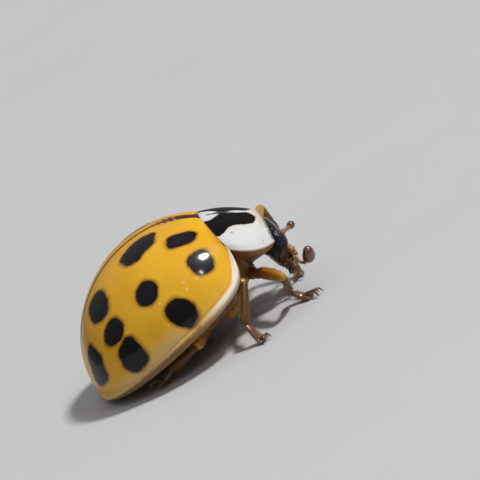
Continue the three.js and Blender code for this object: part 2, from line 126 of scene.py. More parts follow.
def in_edit_mode(obj: Piece, work: Callable[[], None]) -> Piece:
    """Runs some work on the whole mesh in edit mode.

    Args:
        obj: The mesh object.
        work: What to do while all of it is selected.

    Returns:
        The same object, back in object mode.
    """
    take(obj)
    bpy.ops.object.mode_set(mode="EDIT")
    bpy.ops.mesh.select_all(action="SELECT")
    work()
    bpy.ops.object.mode_set(mode="OBJECT")
    return obj


def modify(obj: Piece, kind: str, **settings: object) -> Piece:
    """Adds a modifier with its settings and applies it.

    Args:
        obj: The mesh object.
        kind: The modifier's type.
        settings: Values of its properties.

    Returns:
        The same object.
    """
    take(obj)
    bpy.ops.object.modifier_add(type=kind)
    modifier = obj.modifiers[-1]
    for name, value in settings.items():
        setattr(modifier, name, value)
    bpy.ops.object.modifier_apply(modifier=modifier.name)
    return obj


def smooth_out(obj: Piece, levels: int = 2) -> Piece:
    """Rounds a piece with applied subdivision."""
    return modify(obj, "SUBSURF", levels=levels, render_levels=levels)


def face_out(obj: Piece) -> Piece:
    """Merges doubles on a closed piece and turns all its faces outwards.

    Args:
        obj: The mesh object.

    Returns:
        The same object.
    """

    def work() -> None:
        """Cleans the selected mesh."""
        bpy.ops.mesh.remove_doubles(threshold=1e-5)
        bpy.ops.mesh.normals_make_consistent(inside=False)

    return in_edit_mode(obj, work)


def join(name: str, pieces: Sequence[Piece]) -> Piece:
    """Joins pieces into the first of them.

    Args:
        name: The joined object's name.
        pieces: The objects to join.

    Returns:
        The joined object.
    """
    start_alone()
    for piece in pieces:
        piece.select_set(True)
    bpy.context.view_layer.objects.active = pieces[0]
    if len(pieces) > 1:
        bpy.ops.object.join()
    pieces[0].name = name
    pieces[0].data.name = name
    return pieces[0]


def make(name: str, operator: Callable[..., object], **settings: object) -> Piece:
    """Makes an object with one of Blender's operators.

    Args:
        name: The object's name.
        operator: The operator that adds it.
        settings: What the operator is told.

    Returns:
        The new object.
    """
    start_alone()
    operator(**settings)
    obj = bpy.context.object
    obj.name = obj.data.name = name
    return obj


def fill_map(mesh: bpy.types.Mesh, spots: Sequence[Flat]) -> None:
    """Sets the surface map from one place on it for each vertex.

    Args:
        mesh: The mesh, with one map.
        spots: The vertices' places on the map.
    """
    mesh.uv_layers[0].name = SURFACE_MAP
    layer = mesh.uv_layers[SURFACE_MAP].data
    for loop in mesh.loops:
        layer[loop.index].uv = spots[loop.vertex_index]


def sheet(
    name: str, columns: int, rows: int, place: Callable[[float, float], Vector], outward: Vector,
    chart: Callable[[float, float], Flat] = lambda along, across: (along, across),
) -> Piece:
    """A curved sheet: a grid whose points are carried to their places.

    Args:
        name: The object's name.
        columns: Faces along the sheet.
        rows: Faces across it.
        place: Gives the place of a point from its shares along and across.
        outward: A direction that the middle of the sheet should face.
        chart: Gives the surface map's coordinates from the same shares.

    Returns:
        The new object, with its own surface map.
    """
    obj = make(name, bpy.ops.mesh.primitive_grid_add, x_subdivisions=columns, y_subdivisions=rows, size=1)
    mesh = obj.data
    shares = [(vertex.co.x + 0.5, vertex.co.y + 0.5) for vertex in mesh.vertices]
    fill_map(mesh, [chart(*share) for share in shares])
    for vertex, share in zip(mesh.vertices, shares):
        vertex.co = place(*share)
    mesh.update()
    facing = sum(polygon.normal.dot(outward) * polygon.area for polygon in mesh.polygons)
    if facing < 0:
        in_edit_mode(obj, lambda: bpy.ops.mesh.flip_normals())
    return obj


def thicken(obj: Piece, thickness: float) -> Piece:
    """Gives a sheet its wall, on its inner side."""
    return modify(obj, "SOLIDIFY", thickness=thickness, offset=-1.0, use_even_offset=False)


def loft(name: str, profile: Profile, length: float, sides: int = 12) -> Piece:
    """A straight closed piece along Z, extruded ring by ring.

    Args:
        name: The object's name.
        profile: Rings as (share of the length, half width, half depth).
        length: The piece's length.
        sides: Corners of each ring.

    Returns:
        The new object, standing on the XY plane.
    """
    obj = make(name, bpy.ops.mesh.primitive_circle_add, vertices=sides, radius=1.0, fill_type="NGON")
    first, wide, deep = profile[0]

    def work() -> None:
        """Extrudes the disc along the profile."""
        nonlocal first, wide, deep
        bpy.ops.transform.resize(value=(wide, deep, 1.0), center_override=(0.0, 0.0, 0.0))
        bpy.ops.transform.translate(value=(0.0, 0.0, first * length))
        for share, next_wide, next_deep in profile[1:]:
            step = (0.0, 0.0, (share - first) * length)
            bpy.ops.mesh.extrude_region_move(TRANSFORM_OT_translate={"value": step})
            centre = (0.0, 0.0, share * length)
            ratio = (next_wide / wide, next_deep / deep, 1.0)
            bpy.ops.transform.resize(value=ratio, center_override=centre)
            first, wide, deep = share, next_wide, next_deep

    in_edit_mode(obj, work)
    return face_out(obj)


@dataclass
class Route:
    """A smooth line through a few points, with a steady direction across it."""

    points: Sequence[Vector]
    across: Vector

    def length(self) -> float:
        """Length of the line through the points."""
        return sum((b - a).length for a, b in zip(self.points, self.points[1:]))

    def at(self, share: float) -> Vector:
        """A point of the line.

        Args:
            share: Share of the way along it.

        Returns:
            The point on a Catmull-Rom curve through the points.
        """
        last = len(self.points) - 1
        scaled = min(max(share, 0.0), 1.0) * last
        index = min(int(scaled), last - 1)
        t = scaled - index
        before = self.points[index - 1] if index else self.points[0] * 2 - self.points[1]
        after = (
            self.points[index + 2] if index + 2 <= last else self.points[last] * 2 - self.points[last - 1]
        )
        a, b = self.points[index], self.points[index + 1]
        return 0.5 * (
            2 * a + (b - before) * t + (2 * before - 5 * a + 4 * b - after) * t * t
            + (3 * a - before - 3 * b + after) * t**3
        )

    def axes(self, share: float) -> tuple[Vector, Vector, Vector]:
        """Directions across, up from and along the line at a share of it.

        Args:
            share: Share of the way along it.

        Returns:
            The three directions.
        """
        step = 0.01
        low, high = max(share - step, 0.0), min(share + step, 1.0)
        along = (self.at(high) - self.at(low)).normalized()
        up = along.cross(self.across).normalized()
        return up.cross(along).normalized(), up, along

    def carry(self, obj: Piece, length: float) -> Piece:
        """Bends a straight piece along the line.

        Args:
            obj: A piece that stands along Z.
            length: Its length there, which is stretched to the whole line.

        Returns:
            The same object.
        """
        for vertex in obj.data.vertices:
            share = vertex.co.z / length
            across, up, along = self.axes(share)
            past = share - min(max(share, 0.0), 1.0)
            centre = self.at(share) + along * past * length
            vertex.co = centre + across * vertex.co.x + up * vertex.co.y
        obj.data.update()
        return obj


def limb(
    name: str, points: Sequence[Vector], profile: Profile, across: Vector, sides: int = 12, levels: int = 2
) -> Piece:
    """A rounded, tapered piece that follows a few points.

    Args:
        name: The object's name.
        points: Where it runs.
        profile: Rings as (share of the length, half width, half depth).
        across: The direction in which its width lies.
        sides: Corners of each ring.
        levels: Levels of subdivision.

    Returns:
        The new object.
    """
    route = Route(points, across)
    length = route.length()
    obj = smooth_out(loft(name, profile, length, sides), levels)
    return face_out(route.carry(obj, length))


# ---- Where the beetle stands --------------------------------------------------------------


@dataclass(frozen=True)
class Dome:
    """The shape of the two wing cases together."""

    length: float = 5.8
    half_width: float = 2.86
    width_crest: float = 0.34
    width_reach: float = 1.28
    width_powers: Flat = (2.2, 2.03)
    height: float = 2.76
    height_crest: float = 0.425
    height_reach: float = 1.25
    height_powers: Flat = (2.08, 1.88)
    roundness: float = 0.92
    shoulder_rise: float = 0.83
    shoulder_fall: float = 0.038

    def fullness(self, s: float, crest: float, reach: float, powers: Flat) -> float:
        """How full the dome is at share s of its length: 1 at its crest and 0 at its tip.

        Args:
            s: Share of the length.
            crest: The share at which the dome is fullest.
            reach: Half width of the front arc, as a share of the crest.
            powers: Powers of the front and the rear arc.

        Returns:
            The share of the greatest width or height.
        """
        if s < crest:
            return super_arc((crest - s) / (crest * reach), powers[0])
        return super_arc((s - crest) / (1.0 - crest), powers[1])

    def section(self, s: float) -> tuple[float, float, float]:
        """Half width, top and margin height at share s of the length.

        Args:
            s: Share of the length.

        Returns:
            The three sizes in millimetres.
        """
        wide = self.fullness(s, self.width_crest, self.width_reach, self.width_powers)
        high = self.fullness(s, self.height_crest, self.height_reach, self.height_powers)
        margin = self.shoulder_rise * math.exp(-s / self.shoulder_fall)
        return self.half_width * wide, self.height * high, margin

    def point(self, s: float, angle: float, inset: float = 0.0) -> Vector:
        """A point of the dome in the body frame.

        Args:
            s: Share of the length.
            angle: 0 on the middle line, a quarter turn on the left margin.
            inset: How far inside the outer face it lies.

        Returns:
            The point in millimetres.
        """
        half, top, margin = self.section(s)
        shrink = 1.0 - inset / self.half_width
        across = math.copysign(abs(math.sin(angle)) ** self.roundness, angle)
        up = max(0.0, math.cos(angle)) ** self.roundness
        rise = margin + max(top * shrink - margin, 0.0) * up
        return Vector((half * shrink * across, s * self.length, rise))


@dataclass(frozen=True)
class Stance:
    """How the body is carried over the floor, in millimetres of the part's frame."""

    across: float
    along: float
    rise: float = math.radians(16)
    ride: float = 1.76

    def body(self, point: Vector | Point) -> Vector:
        """A point of the body frame in the part's frame, in millimetres.

        Args:
            point: The point in the body frame.

        Returns:
            The point in the part's frame.
        """
        x, y, z = point
        turn_y = y * math.cos(self.rise) + z * math.sin(self.rise)
        turn_z = z * math.cos(self.rise) - y * math.sin(self.rise)
        return Vector((x + self.across, turn_y + self.along, turn_z + self.ride))

    def direction(self, direction: Vector | Point) -> Vector:
        """A direction of the body frame in the part's frame."""
        return self.body(direction) - self.body((0.0, 0.0, 0.0))

    def floor(self, point: Vector | Point) -> Vector:
        """A point over the floor, [left, tailward, up], in the part's frame, in millimetres."""
        x, y, z = point
        return Vector((x + self.across, y + self.along, z))

    @classmethod
    def from_frame(cls, dome: Dome) -> "Stance":
        """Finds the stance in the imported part.

        Args:
            dome: The shape of the wing cases.

        Returns:
            The stance whose wing cases lie on the part's own.
        """
        plate_low, plate_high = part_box("scutellum")
        case_high = max(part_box(f"elytron_{side.word}")[1].y for side in Side)
        bare = cls(0.0, 0.0)
        steps = 200
        reach = max(bare.body(dome.point(s / steps, 0.0)).y for s in range(steps + 1))
        middle = (plate_low.x + plate_high.x) / 2
        return cls(middle / MM, case_high / MM - reach)


# ---- Materials ----------------------------------------------------------------------------


@dataclass(frozen=True)
class Value:
    """An output of a node tree that can stand in sums and products."""

    nodes: "Nodes"
    socket: Socket

    def math(self, operation: str, *others: object, clamp: bool = False) -> "Value":
        """The result of a Math node that starts with this value."""
        return self.nodes.math(operation, self, *others, clamp=clamp)

    def __add__(self, other: object) -> "Value":
        """The sum."""
        return self.math("ADD", other)

    def __sub__(self, other: object) -> "Value":
        """The difference."""
        return self.math("SUBTRACT", other)

    def __rsub__(self, number: float) -> "Value":
        """A number less this value."""
        return self.nodes.math("SUBTRACT", number, self)

    def __mul__(self, other: object) -> "Value":
        """The product."""
        return self.math("MULTIPLY", other)

    def __truediv__(self, other: object) -> "Value":
        """The quotient."""
        return self.math("DIVIDE", other)

    def __pow__(self, power: float) -> "Value":
        """The value raised to a power."""
        return self.math("POWER", power)

    def __abs__(self) -> "Value":
        """The value without its sign."""
        return self.math("ABSOLUTE")

    def rise(self, low: float, high: float) -> "Value":
        """A smooth mask that rises from 0 at low to 1 at high."""
        return self.nodes.step(self, low, high, 0.0, 1.0)

    def fall(self, low: float, high: float) -> "Value":
        """A smooth mask that falls from 1 at low to 0 at high."""
        return self.nodes.step(self, low, high, 1.0, 0.0)


class Nodes:
    """Builds a node tree with short calls."""

    def __init__(self, tree: NodeTree) -> None:
        """Keeps the tree to build in."""
        self.tree = tree

    def feed(self, socket: Socket, value: object) -> None:
        """Links a socket to a value, or sets its number or colour.

        Args:
            socket: The input.
            value: A value, or a plain number or colour.
        """
        if isinstance(value, Value):
            self.tree.links.new(value.socket, socket)
        else:
            socket.default_value = value

    def add(self, kind: str, inputs: dict[str | int, object], **settings: object) -> Node:
        """Adds a node.

        Args:
            kind: The node's type.
            inputs: What its inputs are fed with, by name or number.
            settings: Values of its properties.

        Returns:
            The node.
        """
        node = self.tree.nodes.new(kind)
        for name, value in settings.items():
            setattr(node, name, value)
        for key, value in inputs.items():
            self.feed(node.inputs[key], value)
        return node

    def run(self, kind: str, output: str | int, inputs: dict[str | int, object], **settings: object) -> Value:
        """One output, by name or number, of a new node."""
        return Value(self, self.add(kind, inputs, **settings).outputs[output])

    def math(self, operation: str, *values: object, clamp: bool = False) -> Value:
        """The result of a Math node on values in order, kept from 0 to 1 if clamp is set."""
        inputs = dict(enumerate(values))
        return self.run("ShaderNodeMath", 0, inputs, operation=operation, use_clamp=clamp)

    def step(self, value: Value, low: float, high: float, start: float, stop: float) -> Value:
        """A smooth step of a value, from start at low to stop at high."""
        inputs = {"Value": value, "From Min": low, "From Max": high, "To Min": start, "To Max": stop}
        return self.run("ShaderNodeMapRange", "Result", inputs, interpolation_type="SMOOTHSTEP")

    def blend(self, share: object, under: object, over: object) -> Value:
        """A mix of two colours by a share."""
        return self.run("ShaderNodeMix", 2, {0: share, 6: under, 7: over}, data_type="RGBA")

    def noise(self, vector: Value, scale: float, detail: float = 2.0) -> Value:
        """The value of a noise texture, 0.5 on average."""
        return self.run("ShaderNodeTexNoise", "Fac", {"Vector": vector, "Scale": scale, "Detail": detail})

    def stray(self, vector: Value, scale: float, detail: float = 2.0) -> Value:
        """The value of a noise texture, 0 on average."""
        return self.noise(vector, scale, detail) - 0.5

    def cells(self, vector: Value, scale: float) -> Value:
        """Distance to the nearest cell centre of a Voronoi texture."""
        return self.run("ShaderNodeTexVoronoi", "Distance", {"Vector": vector, "Scale": scale})

    def split(self, vector: Value) -> tuple[Value, Value, Value]:
        """The three parts of a vector."""
        x, y, z = self.add("ShaderNodeSeparateXYZ", {0: vector}).outputs
        return Value(self, x), Value(self, y), Value(self, z)

    def coordinates(self, output: str) -> Value:
        """An output of the Texture Coordinate node."""
        return self.run("ShaderNodeTexCoord", output, {})

    def group(self, tree: NodeTree, **inputs: object) -> dict[str, Value]:
        """The outputs of a node group by name; underscores in its inputs stand for spaces.

        Args:
            tree: The group's tree.
            inputs: What its inputs are fed with.

        Returns:
            The outputs.
        """
        named = {name.replace("_", " "): value for name, value in inputs.items()}
        node = self.add("ShaderNodeGroup", named, node_tree=tree)
        return {socket.name: Value(self, socket) for socket in node.outputs}


Inputs = dict[str, Value]
SOCKET_KINDS = {type(None): "NodeSocketVector", float: "NodeSocketFloat", tuple: "NodeSocketColor"}


def new_group(name: str, inputs: dict[str, object], draw: Callable[[Nodes, Inputs], Inputs]) -> NodeTree:
    """A shader node group.

    Args:
        name: The group's name.
        inputs: The defaults of its inputs by name; None stands for a vector.
        draw: Works its outputs out from its inputs.

    Returns:
        The group's tree.
    """
    tree = bpy.data.node_groups.new(name, "ShaderNodeTree")
    for label, default in inputs.items():
        kind = SOCKET_KINDS[type(default)]
        socket = tree.interface.new_socket(label, in_out="INPUT", socket_type=kind)
        if default is not None:
            socket.default_value = default
    nodes = Nodes(tree)
    given = nodes.add("NodeGroupInput", {}).outputs
    made = draw(nodes, {label: Value(nodes, given[label]) for label in inputs})
    for label in made:
        kind = "NodeSocketColor" if label == "Color" else "NodeSocketFloat"
        tree.interface.new_socket(label, in_out="OUTPUT", socket_type=kind)
    nodes.add("NodeGroupOutput", made)
    return tree


def draw_spot(nodes: Nodes, given: Inputs) -> Inputs:
    """An oval spot on a surface map, with its soft rim.

    Args:
        nodes: The group's tree.
        given: The group's inputs.

    Returns:
        The group's outputs.
    """
    chart = given["Vector"]
    x, y, _ = nodes.split(chart)
    along, across = x - given["Along"], y - given["Across"]
    cosine, sine = given["Turn"].math("COSINE"), given["Turn"].math("SINE")
    long = (along * cosine + across * sine) / given["Half Length"]
    short = (across * cosine - along * sine) / given["Half Width"]
    power = 2.35
    reach = (abs(long) ** power + abs(short) ** power) ** (1.0 / power)
    reach += nodes.stray(chart, 11.0, 1.0) * given["Ragged"]
    reach += nodes.stray(chart, 70.0) * 0.16
    return {"Mask": reach.fall(0.93, 1.08), "Rim": reach.fall(0.98, 1.32)}


def draw_mottle(nodes: Nodes, given: Inputs) -> Inputs:
    """Two tones of one colour in soft clouds with a fine grain.

    Args:
        nodes: The group's tree.
        given: The group's inputs.

    Returns:
        The group's outputs.
    """
    place = given["Vector"]
    clouds = nodes.noise(place, 900.0, 3.0).rise(0.3, 0.75)
    share = clouds + nodes.stray(place, 9000.0) * 0.7
    share = share.math("MULTIPLY", given["Amount"], clamp=True)
    return {"Color": nodes.blend(share, given["Light"], given["Dark"])}


def draw_pits(nodes: Nodes, given: Inputs) -> Inputs:
    """Fine pits and an uneven skin, as a height.

    Args:
        nodes: The group's tree.
        given: The group's inputs.

    Returns:
        The group's outputs.
    """
    inputs = {0: given["Vector"], "Scale": given["Spacing"]}
    scaled = nodes.run("ShaderNodeVectorMath", 0, inputs, operation="SCALE")
    pits = nodes.cells(scaled, 11000.0).rise(0.08, 0.34)
    return {"Height": pits + nodes.noise(scaled, 2600.0) * given["Waves"]}


@dataclass(frozen=True)
class SharedEffects:
    """Node groups that several finishes use."""

    spot: NodeTree
    mottle: NodeTree
    pits: NodeTree

    @classmethod
    def build(cls) -> "SharedEffects":
        """Builds each group once.

        Returns:
            The groups.
        """
        oval = {"Along": 0.5, "Across": 0.5, "Half Length": 0.1, "Half Width": 0.1}
        tones = {"Light": (0.8, 0.8, 0.8, 1.0), "Dark": (0.2, 0.2, 0.2, 1.0), "Amount": 0.5}
        return cls(
            new_group("oval spot", {"Vector": None, "Turn": 0.0, "Ragged": 0.0} | oval, draw_spot),
            new_group("mottle", {"Vector": None} | tones, draw_mottle),
            new_group("fine pits", {"Vector": None, "Spacing": 1.0, "Waves": 0.3}, draw_pits),
        )


def colour(red: float, green: float, blue: float) -> Colour:
    """A linear colour with full alpha."""
    return (red, green, blue, 1.0)


class Skin:
    """A material under work: its nodes and the colour laid on so far."""

    def __init__(self, name: str, effects: SharedEffects) -> None:
        """Makes an empty material.

        Args:
            name: Its name.
            effects: The shared node groups.
        """
        self.material = bpy.data.materials.new(name)
        self.material.use_nodes = True
        self.effects = effects
        self.nodes = Nodes(self.material.node_tree)
        self.place = self.nodes.coordinates("Object")
        self.base: object = colour(0.0, 0.0, 0.0)

    def set(self, **values: object) -> None:
        """Feeds inputs of the shader; underscores in their names stand for spaces.

        Args:
            values: What the inputs are fed with.
        """
        shader = self.material.node_tree.nodes["Principled BSDF"]
        for name, value in values.items():
            self.nodes.feed(shader.inputs[name.replace("_", " ")], value)

    def chart(self) -> Value:
        """The piece's own surface map."""
        return self.nodes.run("ShaderNodeUVMap", 0, {}, uv_map=SURFACE_MAP)

    def tones(self, light: Colour, dark: Colour, amount: float) -> None:
        """Starts with two tones in soft clouds.

        Args:
            light: The light tone.
            dark: The dark tone.
            amount: The share of the dark tone.
        """
        mottle = self.nodes.group(
            self.effects.mottle, Vector=self.place, Light=light, Dark=dark, Amount=amount
        )
        self.base = mottle["Color"]

    def lay(self, share: Value, over: object) -> None:
        """Lays a colour over the present one by a share."""
        self.base = self.nodes.blend(share, self.base, over)

    def spot(self, chart: Value, spot: "Spot", ragged: float = 0.0) -> Inputs:
        """The mask and the rim of a spot.

        Args:
            chart: The surface map.
            spot: The spot's place and size.
            ragged: How uneven its edge is.

        Returns:
            The outputs Mask and Rim.
        """
        return self.nodes.group(
            self.effects.spot, Vector=chart, Along=spot.along, Across=spot.across, Ragged=ragged,
            Half_Length=spot.half_length, Half_Width=spot.half_width, Turn=math.radians(spot.turn),
        )

    def relief(self, spacing: float, waves: float) -> Value:
        """The height of a pitted, uneven skin."""
        return self.nodes.group(self.effects.pits, Vector=self.place, Spacing=spacing, Waves=waves)["Height"]


@dataclass(frozen=True)
class Finish:
    """What all the beetle's finishes have: a name and the shader's steady values."""

    name: str
    slot: str
    roughness: float = 0.3
    shine: float = 0.3
    coat: float = 0.0
    coat_roughness: float = 0.08
    subsurface: float = 0.0
    scatter: Point = (0.4, 0.15, 0.05)
    bump: float = 0.15
    depth: float = 0.006
    dented: bool = False  # whether the coat follows the bumps too

    def paint(self, skin: Skin) -> Value:
        """Lays the colours on, and gives the height of the surface."""
        raise NotImplementedError

    def build(self, effects: SharedEffects) -> Material:
        """Builds the material.

        Args:
            effects: The shared node groups.

        Returns:
            The material.
        """
        skin = Skin(self.name, effects)
        skin.set(
            Roughness=self.roughness, Specular_IOR_Level=self.shine, Coat_Weight=self.coat,
            Coat_Roughness=self.coat_roughness, Subsurface_Weight=self.subsurface,
            Subsurface_Radius=self.scatter, Subsurface_Scale=MM,
        )
        inputs = {"Strength": self.bump, "Distance": self.depth * MM, "Height": self.paint(skin)}
        bump = skin.nodes.run("ShaderNodeBump", 0, inputs)
        skin.set(Base_Color=skin.base, Normal=bump)
        if self.dented:
            skin.set(Coat_Normal=bump)
        return skin.material


@dataclass(frozen=True)
class Spot:
    """An oval spot on a surface map, its turn in degrees."""

    along: float
    across: float
    half_length: float
    half_width: float
    turn: float = 0.0


DEGREE_SPAN = 0.0084  # surface map units, in wing case lengths, for one degree round the dome


def wing_spot(along: float, angle: float, half_length: float, half_width: float, turn: float = 0.0) -> Spot:
    """A spot of a wing case, its place across it given in degrees round the dome."""
    return Spot(along, angle * DEGREE_SPAN, half_length, half_width, turn)


WING_SPOTS = {
    "basal": wing_spot(0.128, 32.8, 0.068, 0.058, -26.0),
    "shoulder": wing_spot(0.134, 58.8, 0.060, 0.076),
    "front inner": wing_spot(0.318, 17.4, 0.102, 0.072, 16.0),
    "front inner tail": wing_spot(0.240, 14.2, 0.040, 0.034, 24.0),
    "front middle": wing_spot(0.431, 51.2, 0.059, 0.071, -45.0),
    "front outer": wing_spot(0.373, 75.4, 0.066, 0.084, 16.0),
    "rear inner": wing_spot(0.661, 23.0, 0.073, 0.098, 10.0),
    "rear middle": wing_spot(0.689, 49.0, 0.070, 0.064, 12.0),
    "rear outer": wing_spot(0.700, 71.0, 0.067, 0.096, -10.0),
    "tip": wing_spot(0.885, 47.5, 0.158, 0.056, 79.0),
}

# Tiny pale marks on the cases: partly dust and pits, partly painted glints of light on the pits.
WING_SPECKS_AND_GLINTS = [
    wing_spot(along, angle, 0.006, 0.006)
    for along, angle in ((0.202, 66.0), (0.261, 62.3), (0.275, 66.8), (0.419, 61.8), (0.212, 86.9))
]


@dataclass(frozen=True)
class WingCaseFinish(Finish):
    """Glossy yellow-orange with black spots, a cream rim and a dark streak on the seam."""

    light: Colour = colour(0.80, 0.43, 0.020)
    deep: Colour = colour(0.66, 0.29, 0.008)
    halo: Colour = colour(0.15, 0.036, 0.004)
    black: Colour = colour(0.004, 0.002, 0.002)
    cream: Colour = colour(0.68, 0.50, 0.25)
    rim: Colour = colour(0.84, 0.76, 0.64)
    tan: Colour = colour(0.33, 0.205, 0.060)
    amber: Colour = colour(0.17, 0.066, 0.019)
    flange: Colour = colour(0.42, 0.20, 0.05)
    seam: Colour = colour(0.075, 0.026, 0.005)
    bead: Colour = colour(0.78, 0.40, 0.14)

    def paint(self, skin: Skin) -> Value:
        """Lays on the colours of a wing case.

        Args:
            skin: The material under work.

        Returns:
            The height of its surface.
        """
        chart = skin.chart()
        along, across, _ = skin.nodes.split(chart)
        skin.tones(self.light, self.deep, 0.55)
        skin.lay(across.rise(0.16, 0.0) * along.rise(0.45, 0.95) * 0.5, self.deep)
        self.draw_rim(skin, chart, along, across)
        mask: object = 0.0
        halo: object = 0.0
        for spot in WING_SPOTS.values():
            oval = skin.spot(chart, spot, 0.55)
            mask = oval["Mask"].math("MAXIMUM", mask)
            halo = oval["Rim"].math("MAXIMUM", halo)
        skin.lay(halo * 0.7, self.halo)
        skin.lay(mask, self.black)
        # Pale specks, partly dust and partly painted glints of light.
        for speck in WING_SPECKS_AND_GLINTS:
            skin.lay(skin.spot(chart, speck)["Rim"] * 0.35, self.rim)
        self.draw_seam(skin, chart, along, across)
        skin.set(Coat_Weight=along.rise(0.055, 0.095) * self.coat)
        return skin.relief(1.0, 0.7)

    def draw_rim(self, skin: Skin, chart: Value, along: Value, across: Value) -> None:
        """The pale zone over the margin, the cream rim and the brown edge below it.

        Args:
            skin: The material under work.
            chart: The surface map.
            along: Its share of the length.
            across: Its distance from the seam.
        """
        edge = 90.0 * DEGREE_SPAN
        fade = along.rise(0.22, 0.58)
        skin.lay(across.rise(edge - 0.15, edge - 0.03) * (fade * 0.5 + 0.12), self.cream)
        shoulder = along.fall(0.03, 0.12) * 0.034
        rim = (across + shoulder - fade * 0.014).rise(edge - 0.040, edge - 0.028)
        tone = skin.nodes.blend(along.rise(0.15, 0.34), self.rim, self.cream)
        tone = skin.nodes.blend(along.rise(0.28, 0.55), tone, self.tan)
        skin.lay(rim * (0.94 - fade * 0.62), tone)
        flecks = skin.nodes.stray(chart, 60.0) * 0.014
        lower = (across + fade * 0.014 + flecks).rise(edge - 0.021, edge - 0.001)
        skin.lay(lower * (fade * 0.24 + 0.62), self.amber)
        skin.lay(across.rise(edge + 0.02, edge + 0.05), self.flange)

    def draw_seam(self, skin: Skin, chart: Value, along: Value, across: Value) -> None:
        """The dark line of the seam and the beaded streak behind the shield plate.

        Args:
            skin: The material under work.
            chart: The surface map.
            along: Its share of the length.
            across: Its distance from the seam.
        """
        skin.lay(across.fall(0.006, 0.013) * 0.85, self.seam)
        skin.lay(across.fall(0.034, 0.046) * along.fall(0.11, 0.22), self.seam)
        beads = (along * 215.0).math("SINE").rise(-0.3, 0.5)
        uneven = (skin.nodes.noise(chart, 60.0) * 0.8).math("ADD", 0.45, clamp=True)
        row = abs(across - 0.023).fall(0.006, 0.011) * (along.fall(0.17, 0.24) * along.rise(0.06, 0.09))
        skin.lay(beads * uneven * row * 0.9, self.bead)


@dataclass(frozen=True)
class PronotumFinish(Finish):
    """Ivory white with two broad black bands and amber, partly clear margins."""

    ivory: Colour = colour(0.64, 0.655, 0.65)
    cream: Colour = colour(0.60, 0.50, 0.36)
    smoke: Colour = colour(0.12, 0.105, 0.085)
    amber: Colour = colour(0.42, 0.19, 0.05)
    black: Colour = colour(0.003, 0.002, 0.002)
    skew: float = 3.5  # how far the markings lean to the beetle's right, in degrees
    # Place of a shallow hollow that the shape doesn't have; its shade is painted as a mottled darker ring.
    hollow: Spot = Spot(0.58, -0.7, 0.15, 0.11)
    specks: tuple[Spot, ...] = (Spot(0.75, -0.84, 0.022, 0.0176), Spot(0.29, -0.56, 0.03, 0.024))

    def paint(self, skin: Skin) -> Value:
        """Lays on the colours of the pronotum.

        Args:
            skin: The material under work.

        Returns:
            The height of its surface.
        """
        nodes, chart = skin.nodes, skin.chart()
        along, across, _ = nodes.split(chart)
        angle = across * 90.0
        lean = angle.math("RADIANS").math("COSINE") * self.skew
        wobble = nodes.stray(chart, 8.0)
        turned = abs(angle + lean) + wobble * 5.0
        skin.tones(self.ivory, self.cream, 0.22)
        ahead = along + nodes.stray(chart, 22.0, 3.0) * 0.10
        skin.lay(ahead.rise(0.82, 0.90) * turned.fall(34.0, 52.0) * 0.9, self.cream)
        hem = ahead.rise(0.935, 0.96) * turned.fall(76.0, 88.0)
        skin.lay(hem * 0.85, self.smoke)
        skin.lay(abs(across).rise(0.955, 0.995) * 0.6, self.amber)
        skin.lay(along.fall(0.012, 0.03) * turned.rise(14.0, 26.0) * 0.5, self.amber)
        # Painted shade: a mottled darker ring where the shallow hollow would be shaded.
        hollow = skin.spot(chart, self.hollow, 0.8)
        ring = (hollow["Rim"] - hollow["Mask"]) * nodes.noise(chart, 40.0, 3.0)
        skin.lay(ring * 0.35, self.cream)
        for speck in self.specks:
            skin.lay(skin.spot(chart, speck)["Rim"] * 0.45, self.amber)
        reach = self.band(along, turned, wobble)
        skin.lay(reach.rise(-2.4, 0.0) * 0.6, self.amber)
        self.draw_middle(skin, along, turned)
        skin.lay(reach.rise(-0.6, 0.6), self.black)
        skin.set(Coat_Weight=hem * 0.9 + self.coat)
        return skin.relief(1.15, 0.6)

    def draw_middle(self, skin: Skin, along: Value, turned: Value) -> None:
        """The dark line that joins the two bands over the rear half of the middle.

        Args:
            skin: The material under work.
            along: Share of the way from the hind to the front margin.
            turned: Degrees from the middle line.
        """
        thin = turned.fall(1.2, 3.0) * along.rise(0.08, 0.13)
        wide = turned.fall(5.0, 8.0) * along.rise(0.25, 0.31)
        line = thin.math("MAXIMUM", wide) * along.fall(0.40, 0.58)
        skin.lay(line * 0.94, self.black)

    def band(self, along: Value, turned: Value, wobble: Value) -> Value:
        """The black band of one side.

        Args:
            along: Share of the way from the hind to the front margin.
            turned: Degrees from the middle line.
            wobble: Noise that makes the edges uneven.

        Returns:
            How far inside the band a place lies, in degrees.
        """
        back = along.math("DIVIDE", 0.3, clamp=True)
        inner = 17.0 - back**2.0 * 13.0
        outer = along.fall(0.02, 0.40) * 18.5 + 35.0
        bulge = (turned - 19.0) / 15.0
        front = 0.845 - bulge**2.0 * 0.09 + wobble * 0.05
        reach = (turned - inner).math("MINIMUM", outer - turned)
        reach = reach.math("MINIMUM", (front - along) * 70.0)
        return reach.math("MINIMUM", (along - 0.008) * 120.0)


@dataclass(frozen=True)
class SkinFinish(Finish):
    """A cuticle of two tones, for the head, the limbs and the underside."""

    light: Colour = colour(0.45, 0.18, 0.04)
    dark: Colour = colour(0.12, 0.04, 0.015)
    amount: float = 0.7
    spacing: float = 1.0
    waves: float = 0.6
    dusk: float = 0.0  # how much it darkens towards the middle of its surface map

    def paint(self, skin: Skin) -> Value:
        """Lays the two tones on.

        Args:
            skin: The material under work.

        Returns:
            The height of its surface.
        """
        skin.tones(self.light, self.dark, self.amount)
        if self.dusk:
            across = skin.nodes.split(skin.chart())[1]
            skin.lay(abs(across - 0.5).fall(0.12, 0.36) * self.dusk, self.dark)
        return skin.relief(self.spacing, self.waves)


